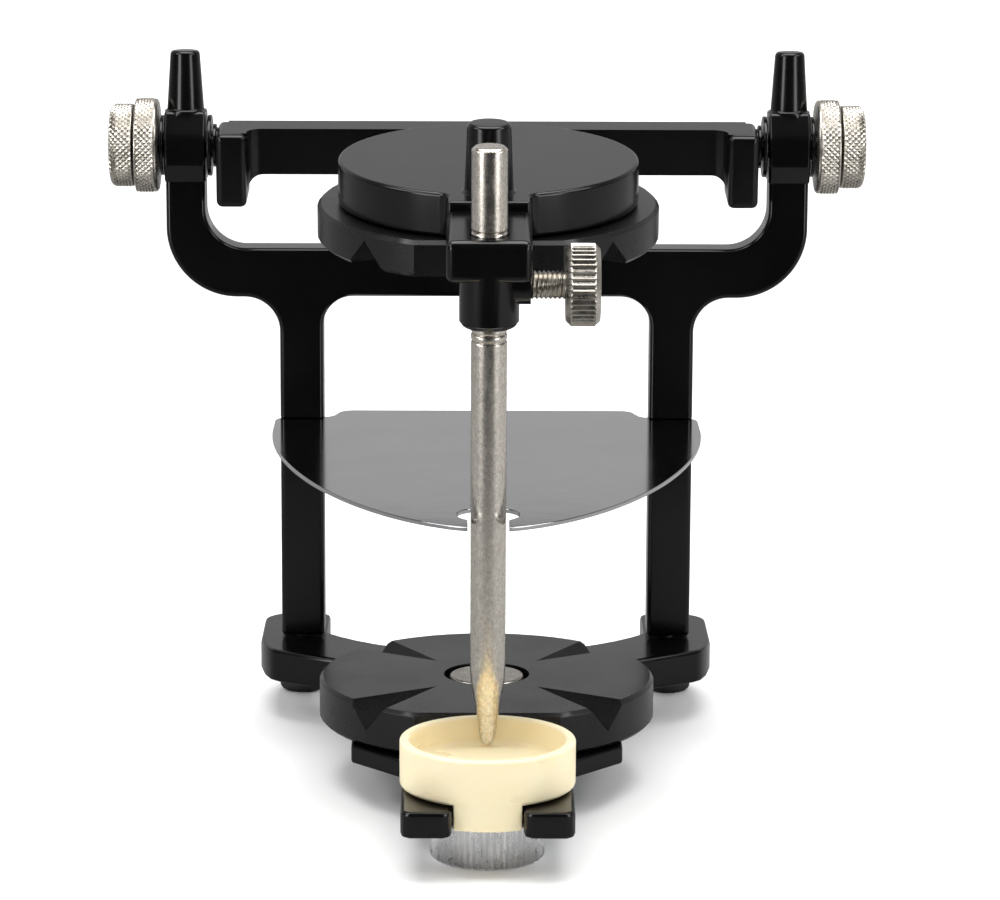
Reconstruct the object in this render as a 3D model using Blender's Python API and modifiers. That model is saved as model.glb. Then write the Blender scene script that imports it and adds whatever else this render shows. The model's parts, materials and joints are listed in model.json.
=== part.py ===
"""Dental articulator: a stand with two posts, a hinged upper member and an incisal pin.

Frame: X to the right, Y to the back, Z up, in metres. The origin is on the table, under the
centre of the lower plate. Pieces of the upper member are drawn level, measured from the
condylar axis, and hang on an empty on that axis, which tips them forward to the closed pose.
"""
import math

import bmesh
import bpy
from mathutils import Matrix, Vector

MM = 0.001
GAP = 0.3 * MM
WELD = 0.001 * MM
FLAT = math.radians(0.1)
SIDES = (("left", -1), ("right", 1))

# Overall layout
PIVOT_Y = 52.0 * MM
PIVOT_Z = 115.0 * MM
CLOSED_TILT = math.radians(6.3)

# Base plate
BASE_BOTTOM = 8.1 * MM
EAR_TOP = 14.8 * MM
SEAT_TOP = 11.5 * MM
FORK_TOP = 13.0 * MM
BASE_HALF_WIDTH = 25.4 * MM
BASE_FRONT_Y = -30.7 * MM
EAR_OUTER_X = 45.7 * MM
EAR_INNER_X = 32.2 * MM
REAR_Y = 68.8 * MM
FORK_HALF_WIDTH = 15.4 * MM
FORK_FRONT_Y = -68.8 * MM
SLOT_HALF_WIDTH = 6.35 * MM
SLOT_END_Y = -37.5 * MM
REAR_ARC_CENTRE_Y = 77.3 * MM
REAR_ARC_RADIUS = 40.6 * MM
FOOT_X = 38.0 * MM
FOOT_Y = 63.6 * MM

# Split-cast plates
PLATE_RADIUS = 32.0 * MM
LOWER_PLATE_THICKNESS = 8.2 * MM
UPPER_PLATE_THICKNESS = 6.8 * MM
PLATE_CHORD = 29.0 * MM
GROOVE_START = 13.5 * MM
GROOVE_DEPTH = 5.2 * MM
GROOVE_HALF_WIDTH = 4.8 * MM
MAGNET_POCKET_RADIUS = 8.2 * MM
MAGNET_POCKET_DEPTH = 5.2 * MM
MAGNET_RADIUS = 7.1 * MM
MAGNET_THICKNESS = 3.0 * MM
LOWER_PLATE_BOTTOM = SEAT_TOP + GAP
UPPER_PLATE_Y = -52.0 * MM
UPPER_PLATE_TOP = 2.0 * MM

# Upright frame
POST_INNER_X = 32.8 * MM
POST_OUTER_X = 41.5 * MM
POST_MIDDLE_X = (POST_INNER_X + POST_OUTER_X) / 2
FRAME_FRONT_Y = 48.0 * MM
FRAME_BACK_Y = 56.3 * MM
POST_MIDDLE_Y = (FRAME_FRONT_Y + FRAME_BACK_Y) / 2
CROSSBAR_BOTTOM = 84.9 * MM
WINDOW_TOP = 85.1 * MM
CROSSBAR_TOP = 94.8 * MM
ARM_INNER_X = 56.2 * MM
ARM_OUTER_X = 64.0 * MM
ARM_OUTER_BEND = 14.0 * MM
ARM_INNER_BEND = 8.0 * MM
POST_INNER_FILLET = 6.0 * MM
POST_OUTER_FILLET = 7.0 * MM
BOSS_INNER_X = 56.0 * MM
BOSS_OUTER_X = 64.2 * MM
BOSS_TOP = 122.1 * MM
BOSS_BOTTOM = 107.9 * MM
BOSS_FRONT_Y = 46.0 * MM
BOSS_BACK_Y = 58.2 * MM
PEG_X = 60.1 * MM
PEG_TOP = 134.0 * MM

# Condylar screws, knobs, rings and collars
AXLE_RADIUS = 2.6 * MM
AXLE_INNER_X = 48.2 * MM
AXLE_OUTER_X = 73.8 * MM
KNOB_RADIUS = 8.3 * MM
KNOB_INNER_X = 70.4 * MM
KNOB_OUTER_X = 75.1 * MM
RING_RADIUS = 9.4 * MM
RING_INNER_X = 65.4 * MM
RING_OUTER_X = 70.1 * MM

# Upper casting, measured from the condylar axis
LUG_INNER_X = 47.7 * MM
LUG_OUTER_X = 53.7 * MM
LUG_FRONT_Y = -9.5 * MM
LUG_BOTTOM = -10.5 * MM
BAR_TOP = 4.25 * MM
BAR_BOTTOM = -5.05 * MM
BAR_FRONT_Y = -3.6 * MM
BAR_BACK_Y = 3.5 * MM
LUG_FILLET = 3.0 * MM
DISC_RADIUS = 28.1 * MM
DISC_TOP = 10.4 * MM
DISC_BOTTOM = UPPER_PLATE_TOP + GAP
TONGUE_HALF_WIDTH = 7.5 * MM
TONGUE_FILLET = 2.8 * MM
TONGUE_FRONT_Y = -85.0 * MM
BLOCK_HALF_WIDTH = 7.6 * MM
BLOCK_TOP = 8.8 * MM
BLOCK_BOTTOM = 1.1 * MM
BLOCK_FRONT_Y = -106.8 * MM
SLEEVE_RADIUS = 5.3 * MM
SLEEVE_BOTTOM = -7.8 * MM
FRONT_PEG_Y = -77.2 * MM
FRONT_PEG_HEIGHT = 12.7 * MM

# Incisal pin and its lock screw, measured from the condylar axis
PIN_Y = -101.5 * MM
PIN_RADIUS = 3.2 * MM
PIN_TOP = 24.6 * MM
PIN_TIP = -87.4 * MM
LOCK_Z = -0.3 * MM
LOCK_THREAD_RADIUS = 2.6 * MM
LOCK_THREAD_END_X = 17.8 * MM
LOCK_HEAD_RADIUS = 7.35 * MM
LOCK_HEAD_INNER_X = 13.4 * MM
LOCK_HEAD_OUTER_X = 19.5 * MM
SIDE_BOSS_END_X = 7.3 * MM

# Incisal table
TABLE_Y = -51.5 * MM
CUP_RADIUS = 15.8 * MM
CUP_INNER_RADIUS = 14.0 * MM
CUP_RIM = 21.8 * MM
CUP_FLOOR = 16.7 * MM
CUP_BOTTOM = FORK_TOP + GAP
CUP_BOSS_FRONT_RADIUS = 15.75 * MM
CUP_BOSS_BACK_RADIUS = 10.0 * MM
CUP_BOSS_BOTTOM = 8.9 * MM
CUP_BOSS_HALF_FLAT = 6.05 * MM
NUT_RADIUS = 10.35 * MM
NUT_TOP = 7.8 * MM
STUD_RADIUS = 2.4 * MM

# Occlusal plate
OCCLUSAL_TOP = 60.2 * MM
OCCLUSAL_THICKNESS = 0.8 * MM
OCCLUSAL_FRONT_Y = -52.0 * MM
OCCLUSAL_WING_X = 42.5 * MM
OCCLUSAL_WING_Y = 36.0 * MM
OCCLUSAL_FULLNESS = 1.73
OCCLUSAL_TAB_X = 31.0 * MM
OCCLUSAL_TAB_Y = 57.0 * MM
OCCLUSAL_SHOULDER_Y = 50.2 * MM
PIN_HOLE_Y = -40.6 * MM
PIN_HOLE_RADIUS = 5.7 * MM
PIN_SLOT_HALF_WIDTH = 3.7 * MM
KERF_DEPTH = 2.5 * MM

BLACK = (0.012, 0.012, 0.013, 1.0)
NICKEL = (0.60, 0.58, 0.54, 1.0)
STEEL = (0.55, 0.55, 0.56, 1.0)
SATIN_STEEL = (0.50, 0.48, 0.45, 1.0)
CREAM = (0.93, 0.85, 0.63, 1.0)
ALUMINIUM = (0.80, 0.80, 0.81, 1.0)
BRASS = (0.70, 0.52, 0.25, 1.0)
RUBBER = (0.03, 0.03, 0.03, 1.0)


# ---------------------------------------------------------------- scene helpers

def clear_scene():
    for old in list(bpy.data.objects):
        bpy.data.objects.remove(old, do_unlink=True)


def new_collection(name):
    collection = bpy.data.collections.new(name)
    bpy.context.scene.collection.children.link(collection)
    return collection


def make_material(name, colour, roughness, metallic):
    material = bpy.data.materials.new(name)
    material.use_nodes = True
    shader = material.node_tree.nodes["Principled BSDF"]
    shader.inputs["Base Color"].default_value = colour
    shader.inputs["Roughness"].default_value = roughness
    shader.inputs["Metallic"].default_value = metallic
    material.diffuse_color = colour
    return material


def new_object(name, mesh, helper=False):
    """Link a mesh as a part, or as a helper that only shapes other parts."""
    shape = bpy.data.objects.new(name, mesh)
    if helper:
        HELPERS.objects.link(shape)
        shape.hide_render = True
        shape.display_type = "WIRE"
    else:
        PARTS.objects.link(shape)
    return shape


def paint(part, colour, roughness, metallic):
    material = make_material(part.name + "_finish", colour, roughness, metallic)
    part.data.materials.clear()
    part.data.materials.append(material)


# ---------------------------------------------------------------- outlines

def arc(centre_x, centre_y, radius, start, end, steps=8):
    """Points on a circular arc, from the start angle to the end angle in degrees."""
    points = []
    for step in range(steps + 1):
        angle = math.radians(start + (end - start) * step / steps)
        points.append((centre_x + radius * math.cos(angle), centre_y + radius * math.sin(angle)))
    return points


def rectangle(low_x, low_y, high_x, high_y):
    return [(low_x, low_y), (high_x, low_y), (high_x, high_y), (low_x, high_y)]


def mirrored(right_half):
    """Close an outline from its right half, which runs from the mirror line round to it."""
    left_half = [(-x, y) for x, y in reversed(right_half) if abs(x) > 1e-7]
    return right_half + left_half


PLANES = {
    "XY": Matrix.Identity(4),
    "XZ": Matrix(((1, 0, 0, 0), (0, 0, -1, 0), (0, 1, 0, 0), (0, 0, 0, 1))),
    "YZ": Matrix(((0, 0, 1, 0), (1, 0, 0, 0), (0, 1, 0, 0), (0, 0, 0, 1))),
}


def curve_to_mesh(curve_object, name):
    """The mesh of a filled curve, with its caps welded to its walls."""
    bpy.context.view_layer.update()
    graph = bpy.context.evaluated_depsgraph_get()
    mesh = bpy.data.meshes.new_from_object(curve_object.evaluated_get(graph))
    mesh.name = name
    shape = bmesh.new()
    shape.from_mesh(mesh)
    bmesh.ops.remove_doubles(shape, verts=shape.verts, dist=WELD)
    bmesh.ops.dissolve_limit(shape, angle_limit=FLAT, verts=shape.verts, edges=shape.edges)
    bmesh.ops.recalc_face_normals(shape, faces=shape.faces)
    shape.to_mesh(mesh)
    shape.free()
    return mesh


def slab(name, outline, low, high, plane="XY", helper=False):
    """A flat outline given a thickness from low to high, across its plane."""
    curve = bpy.data.curves.new(name + "_outline", "CURVE")
    curve.dimensions = "2D"
    curve.fill_mode = "BOTH"
    curve.extrude = (high - low) / 2
    spline = curve.splines.new("POLY")
    spline.points.add(len(outline) - 1)
    for point, (x, y) in zip(spline.points, outline):
        point.co = (x, y, 0.0, 1.0)
    spline.use_cyclic_u = True
    drawn = bpy.data.objects.new(name + "_outline", curve)
    PARTS.objects.link(drawn)
    mesh = curve_to_mesh(drawn, name)
    bpy.data.objects.remove(drawn, do_unlink=True)
    across = -(low + high) / 2 if plane == "XZ" else (low + high) / 2
    mesh.transform(PLANES[plane] @ Matrix.Translation((0, 0, across)))
    return new_object(name, mesh, helper)


def bevel(shape, width, segments=2, angle=35):
    modifier = shape.modifiers.new("rounded_edges", "BEVEL")
    modifier.width = width
    modifier.segments = segments
    modifier.limit_method = "ANGLE"
    modifier.angle_limit = math.radians(angle)
    return shape


def boolean(shape, other, operation):
    """Cut or join two shapes at once, so that each step starts from a clean mesh."""
    modifier = shape.modifiers.new(operation.lower(), "BOOLEAN")
    modifier.operation = operation
    modifier.object = other
    modifier.solver = "EXACT"
    bake(shape)
    return shape


def cut(shape, *others):
    for other in others:
        boolean(shape, other, "DIFFERENCE")
    return shape


def join(shape, *others):
    for other in others:
        boolean(shape, other, "UNION")
    return shape


# ---------------------------------------------------------------- turned pieces

AXES = {
    "+Z": Matrix.Identity(4),
    "-Z": Matrix.Rotation(math.pi, 4, "X"),
    "+X": Matrix.Rotation(math.pi / 2, 4, "Y"),
    "-X": Matrix.Rotation(-math.pi / 2, 4, "Y"),
}


def turned(name, profile, steps=32, axis="+Z", helper=False):
    """A turned piece from (radius, height) points, which run from its top down its outside.

    The height runs along the axis. A profile that starts and ends on the axis gives a solid,
    and one that comes back up to its first point gives a ring.
    """
    mesh = bpy.data.meshes.new(name)
    shape = bmesh.new()
    vertices = [shape.verts.new((radius, 0.0, height)) for radius, height in profile]
    for start, end in zip(vertices, vertices[1:]):
        shape.edges.new((start, end))
    ring = profile[0][0] > 1e-7
    if ring:
        shape.edges.new((vertices[-1], vertices[0]))
    shape.to_mesh(mesh)
    shape.free()
    part = new_object(name, mesh, helper)
    screw = part.modifiers.new("turn", "SCREW")
    screw.axis = "Z"
    screw.steps = steps
    screw.render_steps = steps
    screw.use_merge_vertices = True
    screw.merge_threshold = 1e-6
    screw.use_normal_calculate = True
    bake(part)
    part.data.transform(AXES[axis])
    part.data.shade_smooth()
    part.data.set_sharp_from_angle(angle=math.radians(30))
    return part


def bake(part):
    """Replace a part's mesh by its evaluated one, so that later edits start from it."""
    bpy.context.view_layer.update()
    graph = bpy.context.evaluated_depsgraph_get()
    mesh = bpy.data.meshes.new_from_object(part.evaluated_get(graph))
    part.modifiers.clear()
    part.data = mesh
    shape = bmesh.new()
    shape.from_mesh(mesh)
    bmesh.ops.remove_doubles(shape, verts=shape.verts, dist=WELD)
    bmesh.ops.dissolve_limit(shape, angle_limit=FLAT, verts=shape.verts, edges=shape.edges)
    bmesh.ops.recalc_face_normals(shape, faces=shape.faces)
    shape.to_mesh(mesh)
    shape.free()


def rod(name, radius, low, high, axis="+Z", steps=24, helper=False):
    return turned(name, [(0, high), (radius, high), (radius, low), (0, low)], steps, axis, helper)


def ring(name, radius, hole, low, high, edge, axis="+Z", steps=28):
    """A ring whose two outer edges are chamfered."""
    profile = [(hole, high), (radius - edge, high), (radius, high - edge),
               (radius, low + edge), (radius - edge, low), (hole, low)]
    return turned(name, profile, steps, axis)


def move(shape, x=0.0, y=0.0, z=0.0):
    shape.data.transform(Matrix.Translation((x, y, z)))
    return shape


def set_pivot(part, point):
    """Put a part's own origin on a point without moving its surface."""
    part.data.transform(Matrix.Translation(-Vector(point)))
    part.location = point


def hang_on(part, empty, origin=(0.0, 0.0, 0.0)):
    """Hang a part drawn in an empty's own frame on it, with the part's origin at a point there."""
    set_pivot(part, origin)
    part.parent = empty


# ---------------------------------------------------------------- base

def ear_outline():
    """The two ears and the bridge between them, seen from above."""
    join_y = 27.7 * MM
    corner = 2.0 * MM
    lobe = 5.0 * MM
    right = [(0.0, join_y), (BASE_HALF_WIDTH, join_y), (42.2 * MM, 37.4 * MM)]
    right += [(43.6 * MM, 38.9 * MM), (44.9 * MM, 42.5 * MM), (EAR_OUTER_X, 47.0 * MM)]
    right += arc(EAR_OUTER_X - lobe, REAR_Y - lobe, lobe, 0, 90, 6)
    right += arc(EAR_INNER_X + corner, REAR_Y - corner, corner, 90, 180, 3)
    inner_angle = math.degrees(math.asin(EAR_INNER_X / REAR_ARC_RADIUS))
    right += arc(0.0, REAR_ARC_CENTRE_Y, REAR_ARC_RADIUS, -90 + inner_angle, -90, 8)
    return mirrored(right)


def body_outline():
    chamfer_x = 16.1 * MM
    chamfer_y = -20.7 * MM
    right = [(0.0, BASE_FRONT_Y), (chamfer_x, BASE_FRONT_Y), (BASE_HALF_WIDTH, chamfer_y),
             (BASE_HALF_WIDTH, 30.0 * MM), (0.0, 30.0 * MM)]
    return mirrored(right)


def fork_outline():
    """Two prongs with an open slot between them, whose inner end is round."""
    corner = 1.2 * MM
    back_y = -29.5 * MM
    right = arc(0.0, SLOT_END_Y, SLOT_HALF_WIDTH, 90, 0, 8)
    right += [(SLOT_HALF_WIDTH, FORK_FRONT_Y + corner), (SLOT_HALF_WIDTH + corner, FORK_FRONT_Y)]
    right += [(FORK_HALF_WIDTH - corner, FORK_FRONT_Y), (FORK_HALF_WIDTH, FORK_FRONT_Y + corner)]
    right += [(FORK_HALF_WIDTH, back_y)]
    left = [(-x, y) for x, y in reversed(right)]
    return right + left[:-1]


def make_base():
    base = bevel(slab("base_plate", ear_outline(), BASE_BOTTOM, EAR_TOP), 0.8 * MM)
    seat = rod("seat_cutter", PLATE_RADIUS + 0.4 * MM, SEAT_TOP, EAR_TOP + 5 * MM, steps=64, helper=True)
    body = bevel(slab("base_body", body_outline(), BASE_BOTTOM, SEAT_TOP, helper=True), 0.5 * MM)
    fork = bevel(slab("base_fork", fork_outline(), BASE_BOTTOM, FORK_TOP, helper=True), 0.8 * MM)
    cut(base, seat)
    join(base, body, fork)
    screw_hole = rod("plate_screw_hole", 2.2 * MM, BASE_BOTTOM - MM, SEAT_TOP + MM, steps=16, helper=True)
    cut(base, screw_hole)
    for side, x in SIDES:
        hole = turned("frame_screw_hole_" + side,
                      [(0, EAR_TOP + MM), (2.2 * MM, EAR_TOP + MM), (2.2 * MM, 11.9 * MM),
                       (3.8 * MM, 11.9 * MM), (3.8 * MM, BASE_BOTTOM - MM), (0, BASE_BOTTOM - MM)],
                      16, helper=True)
        move(hole, x * POST_MIDDLE_X, POST_MIDDLE_Y)
        socket = rod("foot_socket_" + side, 2.2 * MM, BASE_BOTTOM - MM, 12.4 * MM, steps=16, helper=True)
        move(socket, x * FOOT_X, FOOT_Y)
        cut(base, hole, socket)
    paint(base, BLACK, 0.25, 0.0)


def make_feet():
    """Push-in bumpers: a disc with a plug on top of it."""
    radius = 4.6 * MM
    plug_radius = 1.9 * MM
    for side, x in SIDES:
        top = BASE_BOTTOM - GAP
        profile = [(0, 12.0 * MM), (plug_radius, 12.0 * MM), (plug_radius, top), (radius, top),
                   (radius, 1.0 * MM), (radius - 1.0 * MM, 0), (0, 0)]
        foot = move(turned("rear_foot_" + side, profile, 24), x * FOOT_X, FOOT_Y)
        paint(foot, RUBBER, 0.8, 0.0)


def make_frame_screws():
    """Socket-head screws that hold the posts to the base from below."""
    for side, x in SIDES:
        profile = [(0, 24.0 * MM), (1.5 * MM, 24.0 * MM), (1.9 * MM, 23.6 * MM), (1.9 * MM, 11.6 * MM),
                   (3.5 * MM, 11.6 * MM), (3.5 * MM, 8.4 * MM), (0, 8.4 * MM)]
        screw = turned("frame_screw_" + side, profile, 24)
        hexagon = rod("hexagon_" + side, 1.7 * MM, 7.0 * MM, 10.4 * MM, steps=6, helper=True)
        cut(screw, hexagon)
        for shape in (screw, hexagon):
            move(shape, x * POST_MIDDLE_X, POST_MIDDLE_Y)
        paint(screw, STEEL, 0.35, 1.0)


# ---------------------------------------------------------------- upright frame

def frame_outline():
    """Posts, crossbar and the two upturned arms, seen from the front."""
    foot_z = EAR_TOP + GAP
    arm_top = 118.0 * MM
    right = arc(POST_INNER_X - POST_INNER_FILLET, WINDOW_TOP - POST_INNER_FILLET,
                 POST_INNER_FILLET, 90, 0, 8)
    right += [(POST_INNER_X, foot_z), (POST_OUTER_X, foot_z)]
    right += arc(POST_OUTER_X + POST_OUTER_FILLET, CROSSBAR_BOTTOM - POST_OUTER_FILLET,
                 POST_OUTER_FILLET, 180, 90, 8)
    right += arc(ARM_OUTER_X - ARM_OUTER_BEND, CROSSBAR_BOTTOM + ARM_OUTER_BEND,
                 ARM_OUTER_BEND, -90, 0, 12)
    right += [(ARM_OUTER_X, arm_top), (ARM_INNER_X, arm_top)]
    right += arc(ARM_INNER_X - ARM_INNER_BEND, CROSSBAR_TOP + ARM_INNER_BEND,
                 ARM_INNER_BEND, 0, -90, 10)
    return mirrored(right)


def boss_outline():
    """The eight-sided boss at each arm's end, seen from the side."""
    upper_drop = 4.7 * MM
    upper_inset = 2.6 * MM
    lower_rise = 3.4 * MM
    lower_inset = 2.1 * MM
    return [(BOSS_FRONT_Y + lower_inset, BOSS_BOTTOM), (BOSS_BACK_Y - lower_inset, BOSS_BOTTOM),
            (BOSS_BACK_Y, BOSS_BOTTOM + lower_rise), (BOSS_BACK_Y, BOSS_TOP - upper_drop),
            (BOSS_BACK_Y - upper_inset, BOSS_TOP), (BOSS_FRONT_Y + upper_inset, BOSS_TOP),
            (BOSS_FRONT_Y, BOSS_TOP - upper_drop), (BOSS_FRONT_Y, BOSS_BOTTOM + lower_rise)]


def peg_profile(top, bottom, top_radius, base_radius, flare):
    """A tapered peg with a rounded top edge and a flared foot that reaches into its boss."""
    rounding = 0.8 * MM
    return [(0, top), (top_radius - rounding, top), (top_radius - 0.2 * MM, top - 0.25 * MM),
            (top_radius, top - rounding), (base_radius, bottom + flare),
            (base_radius + 0.35 * flare, bottom + 0.3 * flare), (base_radius + flare, bottom),
            (base_radius + flare, bottom - 1.5 * MM), (0, bottom - 1.5 * MM)]


def make_upright_frame():
    frame = slab("upright_frame", frame_outline(), FRAME_FRONT_Y, FRAME_BACK_Y, "XZ")
    for side, x in SIDES:
        low, high = sorted((x * BOSS_INNER_X, x * BOSS_OUTER_X))
        boss = slab("boss_" + side, boss_outline(), low, high, "YZ", helper=True)
        peg = turned("peg_" + side, peg_profile(PEG_TOP, BOSS_TOP, 2.95 * MM, 3.7 * MM, 0.15 * MM),
                     24, helper=True)
        move(peg, x * PEG_X, PIVOT_Y)
        bore = rod("axle_bore_" + side, AXLE_RADIUS + GAP, 50 * MM, 70 * MM, side_axis(x), helper=True)
        move(bore, 0, PIVOT_Y, PIVOT_Z)
        hole = rod("post_hole_" + side, 2.2 * MM, EAR_TOP - MM, 24.6 * MM, steps=16, helper=True)
        move(hole, x * POST_MIDDLE_X, POST_MIDDLE_Y)
        kerf_outline = rectangle(x * POST_MIDDLE_X - 8 * MM, FRAME_FRONT_Y - 5 * MM,
                                 x * POST_MIDDLE_X + 8 * MM, FRAME_FRONT_Y + KERF_DEPTH)
        kerf = slab("kerf_" + side, kerf_outline, OCCLUSAL_TOP - OCCLUSAL_THICKNESS - GAP,
                    OCCLUSAL_TOP + GAP, helper=True)
        join(frame, boss, peg)
        cut(frame, bore, hole, kerf)
    paint(frame, BLACK, 0.25, 0.0)


def side_axis(x):
    return "+X" if x > 0 else "-X"


# ---------------------------------------------------------------- condylar screws

def make_condyle(side, x):
    """The screw, knob, lock ring and collars on one side, drawn on the condylar axis."""
    axis = side_axis(x)
    pivot = (0.0, PIVOT_Y, PIVOT_Z)
    hole = AXLE_RADIUS + GAP
    tip = 0.8 * MM
    screw = turned("condyle_screw_" + side,
                   [(0, AXLE_OUTER_X), (AXLE_RADIUS, AXLE_OUTER_X), (AXLE_RADIUS, AXLE_INNER_X + tip),
                    (AXLE_RADIUS - tip, AXLE_INNER_X), (0, AXLE_INNER_X)], 16, axis)
    knob = turned("condyle_knob_" + side,
                  [(0, KNOB_OUTER_X), (KNOB_RADIUS - 0.9 * MM, KNOB_OUTER_X),
                   (KNOB_RADIUS, KNOB_OUTER_X - 0.9 * MM), (KNOB_RADIUS, KNOB_INNER_X + 0.5 * MM),
                   (KNOB_RADIUS - 0.5 * MM, KNOB_INNER_X), (hole, KNOB_INNER_X),
                   (hole, AXLE_OUTER_X + GAP), (0, AXLE_OUTER_X + GAP)], 28, axis)
    lock_ring = ring("lock_ring_" + side, RING_RADIUS, hole, RING_INNER_X, RING_OUTER_X, 0.9 * MM, axis)
    outer = ring("outer_collar_" + side, 6.0 * MM, hole, BOSS_OUTER_X + GAP, RING_INNER_X - GAP,
                 0.2 * MM, axis, 20)
    inner = ring("inner_collar_" + side, 6.1 * MM, hole, 54.9 * MM, BOSS_INNER_X - GAP,
                 0.3 * MM, axis, 20)
    for part, colour, roughness in ((screw, STEEL, 0.35), (knob, NICKEL, 0.3), (lock_ring, NICKEL, 0.3)):
        paint(part, colour, roughness, 1.0)
    for part in (outer, inner):
        paint(part, BLACK, 0.3, 0.0)
    for part in (screw, knob, lock_ring, outer, inner):
        part.location = pivot


# ---------------------------------------------------------------- split-cast plates

def plate_outline():
    """A disc with one straight edge at the front."""
    half_chord = math.sqrt(PLATE_RADIUS ** 2 - PLATE_CHORD ** 2)
    start = math.degrees(math.atan2(-PLATE_CHORD, half_chord))
    return arc(0, 0, PLATE_RADIUS, start, 180 - start, 48)


def make_split_cast_plate(name, thickness):
    """The plate stands on Z = 0 with its four grooves and magnet pocket in its top face."""
    plate = bevel(slab(name, plate_outline(), 0, thickness), 0.7 * MM, 1)
    reach = 1.15
    length = (PLATE_RADIUS - GROOVE_START) * reach
    for index in range(4):
        mesh = bpy.data.meshes.new(name + "_groove")
        wedge = bmesh.new()
        bmesh.ops.create_cone(wedge, cap_ends=True, segments=4, radius1=1.0, radius2=0.0, depth=1.0)
        squash = Matrix.Diagonal((GROOVE_DEPTH * reach, GROOVE_HALF_WIDTH * reach, length, 1.0))
        lie_down = Matrix.Rotation(-math.pi / 2, 4, "Y")
        outward = Matrix.Rotation(math.radians(45 + 90 * index), 4, "Z")
        place = Matrix.Translation((GROOVE_START + length / 2, 0, thickness))
        bmesh.ops.transform(wedge, matrix=outward @ place @ lie_down @ squash, verts=wedge.verts)
        bmesh.ops.recalc_face_normals(wedge, faces=wedge.faces)
        wedge.to_mesh(mesh)
        wedge.free()
        cut(plate, new_object(name + "_groove_" + str(index), mesh, helper=True))
    floor = thickness - MAGNET_POCKET_DEPTH
    pocket = turned(name + "_pocket",
                    [(0, thickness + MM), (MAGNET_POCKET_RADIUS, thickness + MM),
                     (MAGNET_POCKET_RADIUS, floor), (2.2 * MM, floor), (2.2 * MM, -MM), (0, -MM)],
                    32, helper=True)
    cut(plate, pocket)
    bake(plate)
    paint(plate, BLACK, 0.35, 0.0)
    return plate


def make_magnet(name, thickness):
    """A round magnet, its face just below the plate's and a chamfer round it."""
    top = thickness - 0.1 * MM
    chamfer = 0.4 * MM
    profile = [(0, top), (MAGNET_RADIUS - chamfer, top), (MAGNET_RADIUS, top - chamfer),
               (MAGNET_RADIUS, top - MAGNET_THICKNESS), (0, top - MAGNET_THICKNESS)]
    magnet = turned(name, profile, 28)
    paint(magnet, NICKEL, 0.3, 1.0)
    return magnet


def make_plate_screw(name, thickness):
    """A low-headed screw under the magnet, which holds the plate to the casting behind it."""
    floor = thickness - MAGNET_POCKET_DEPTH + GAP
    profile = [(0, floor + 1.4 * MM), (3.4 * MM, floor + 1.4 * MM), (3.4 * MM, floor),
               (1.9 * MM, floor), (1.9 * MM, -3.0 * MM), (0, -3.0 * MM)]
    screw = turned(name, profile, 24)
    cross = slab(name + "_driver_slot", rectangle(-4 * MM, -0.4 * MM, 4 * MM, 0.4 * MM),
                 floor + 0.7 * MM, floor + 3 * MM, helper=True)
    cut(screw, cross)
    bake(screw)
    paint(screw, STEEL, 0.35, 1.0)
    return screw


def make_lower_plate():
    for part in (make_split_cast_plate("lower_split_cast_plate", LOWER_PLATE_THICKNESS),
                 make_magnet("lower_magnet", LOWER_PLATE_THICKNESS),
                 make_plate_screw("lower_plate_screw", LOWER_PLATE_THICKNESS)):
        part.location = (0, 0, LOWER_PLATE_BOTTOM)


def make_upper_plate(pivot):
    """A thinner plate of the same kind hangs face down, its straight edge still at the front."""
    for part in (make_split_cast_plate("upper_split_cast_plate", UPPER_PLATE_THICKNESS),
                 make_magnet("upper_magnet", UPPER_PLATE_THICKNESS),
                 make_plate_screw("upper_plate_screw", UPPER_PLATE_THICKNESS)):
        part.rotation_euler = (0, math.pi, 0)
        part.location = (0, UPPER_PLATE_Y, UPPER_PLATE_TOP)
        part.parent = pivot


# ---------------------------------------------------------------- upper casting

def bar_front_outline():
    """The bar and its two lugs, seen from the front."""
    right = [(0.0, BAR_BOTTOM)]
    right += arc(LUG_INNER_X - LUG_FILLET, BAR_BOTTOM - LUG_FILLET, LUG_FILLET, 90, 0, 5)
    right += [(LUG_INNER_X, LUG_BOTTOM), (LUG_OUTER_X, LUG_BOTTOM), (LUG_OUTER_X, BAR_TOP), (0.0, BAR_TOP)]
    return mirrored(right)


def bar_plan_outline():
    """The bar and its two lugs, seen from above, a little wider than the front outline."""
    right = [(0.0, BAR_FRONT_Y)]
    right += arc(LUG_INNER_X - LUG_FILLET, BAR_FRONT_Y - LUG_FILLET, LUG_FILLET, 90, 0, 5)
    wide = LUG_OUTER_X + MM
    right += [(LUG_INNER_X, LUG_FRONT_Y), (wide, LUG_FRONT_Y), (wide, BAR_BACK_Y), (0.0, BAR_BACK_Y)]
    return mirrored(right)


def disc_outline():
    """The disc with the tongue that grows out of its front through two hollow fillets."""
    reach = DISC_RADIUS + TONGUE_FILLET
    fillet_x = TONGUE_HALF_WIDTH + TONGUE_FILLET
    fillet_y = -math.sqrt(reach ** 2 - fillet_x ** 2)
    touch = math.degrees(math.atan2(fillet_y, fillet_x))
    right = [(0.0, TONGUE_FRONT_Y - UPPER_PLATE_Y), (TONGUE_HALF_WIDTH, TONGUE_FRONT_Y - UPPER_PLATE_Y)]
    right += arc(fillet_x, fillet_y, TONGUE_FILLET, 180, 180 + touch, 6)
    right += arc(0, 0, DISC_RADIUS, touch, 90, 20)[1:]
    return [(x, y + UPPER_PLATE_Y) for x, y in mirrored(right)]


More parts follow.
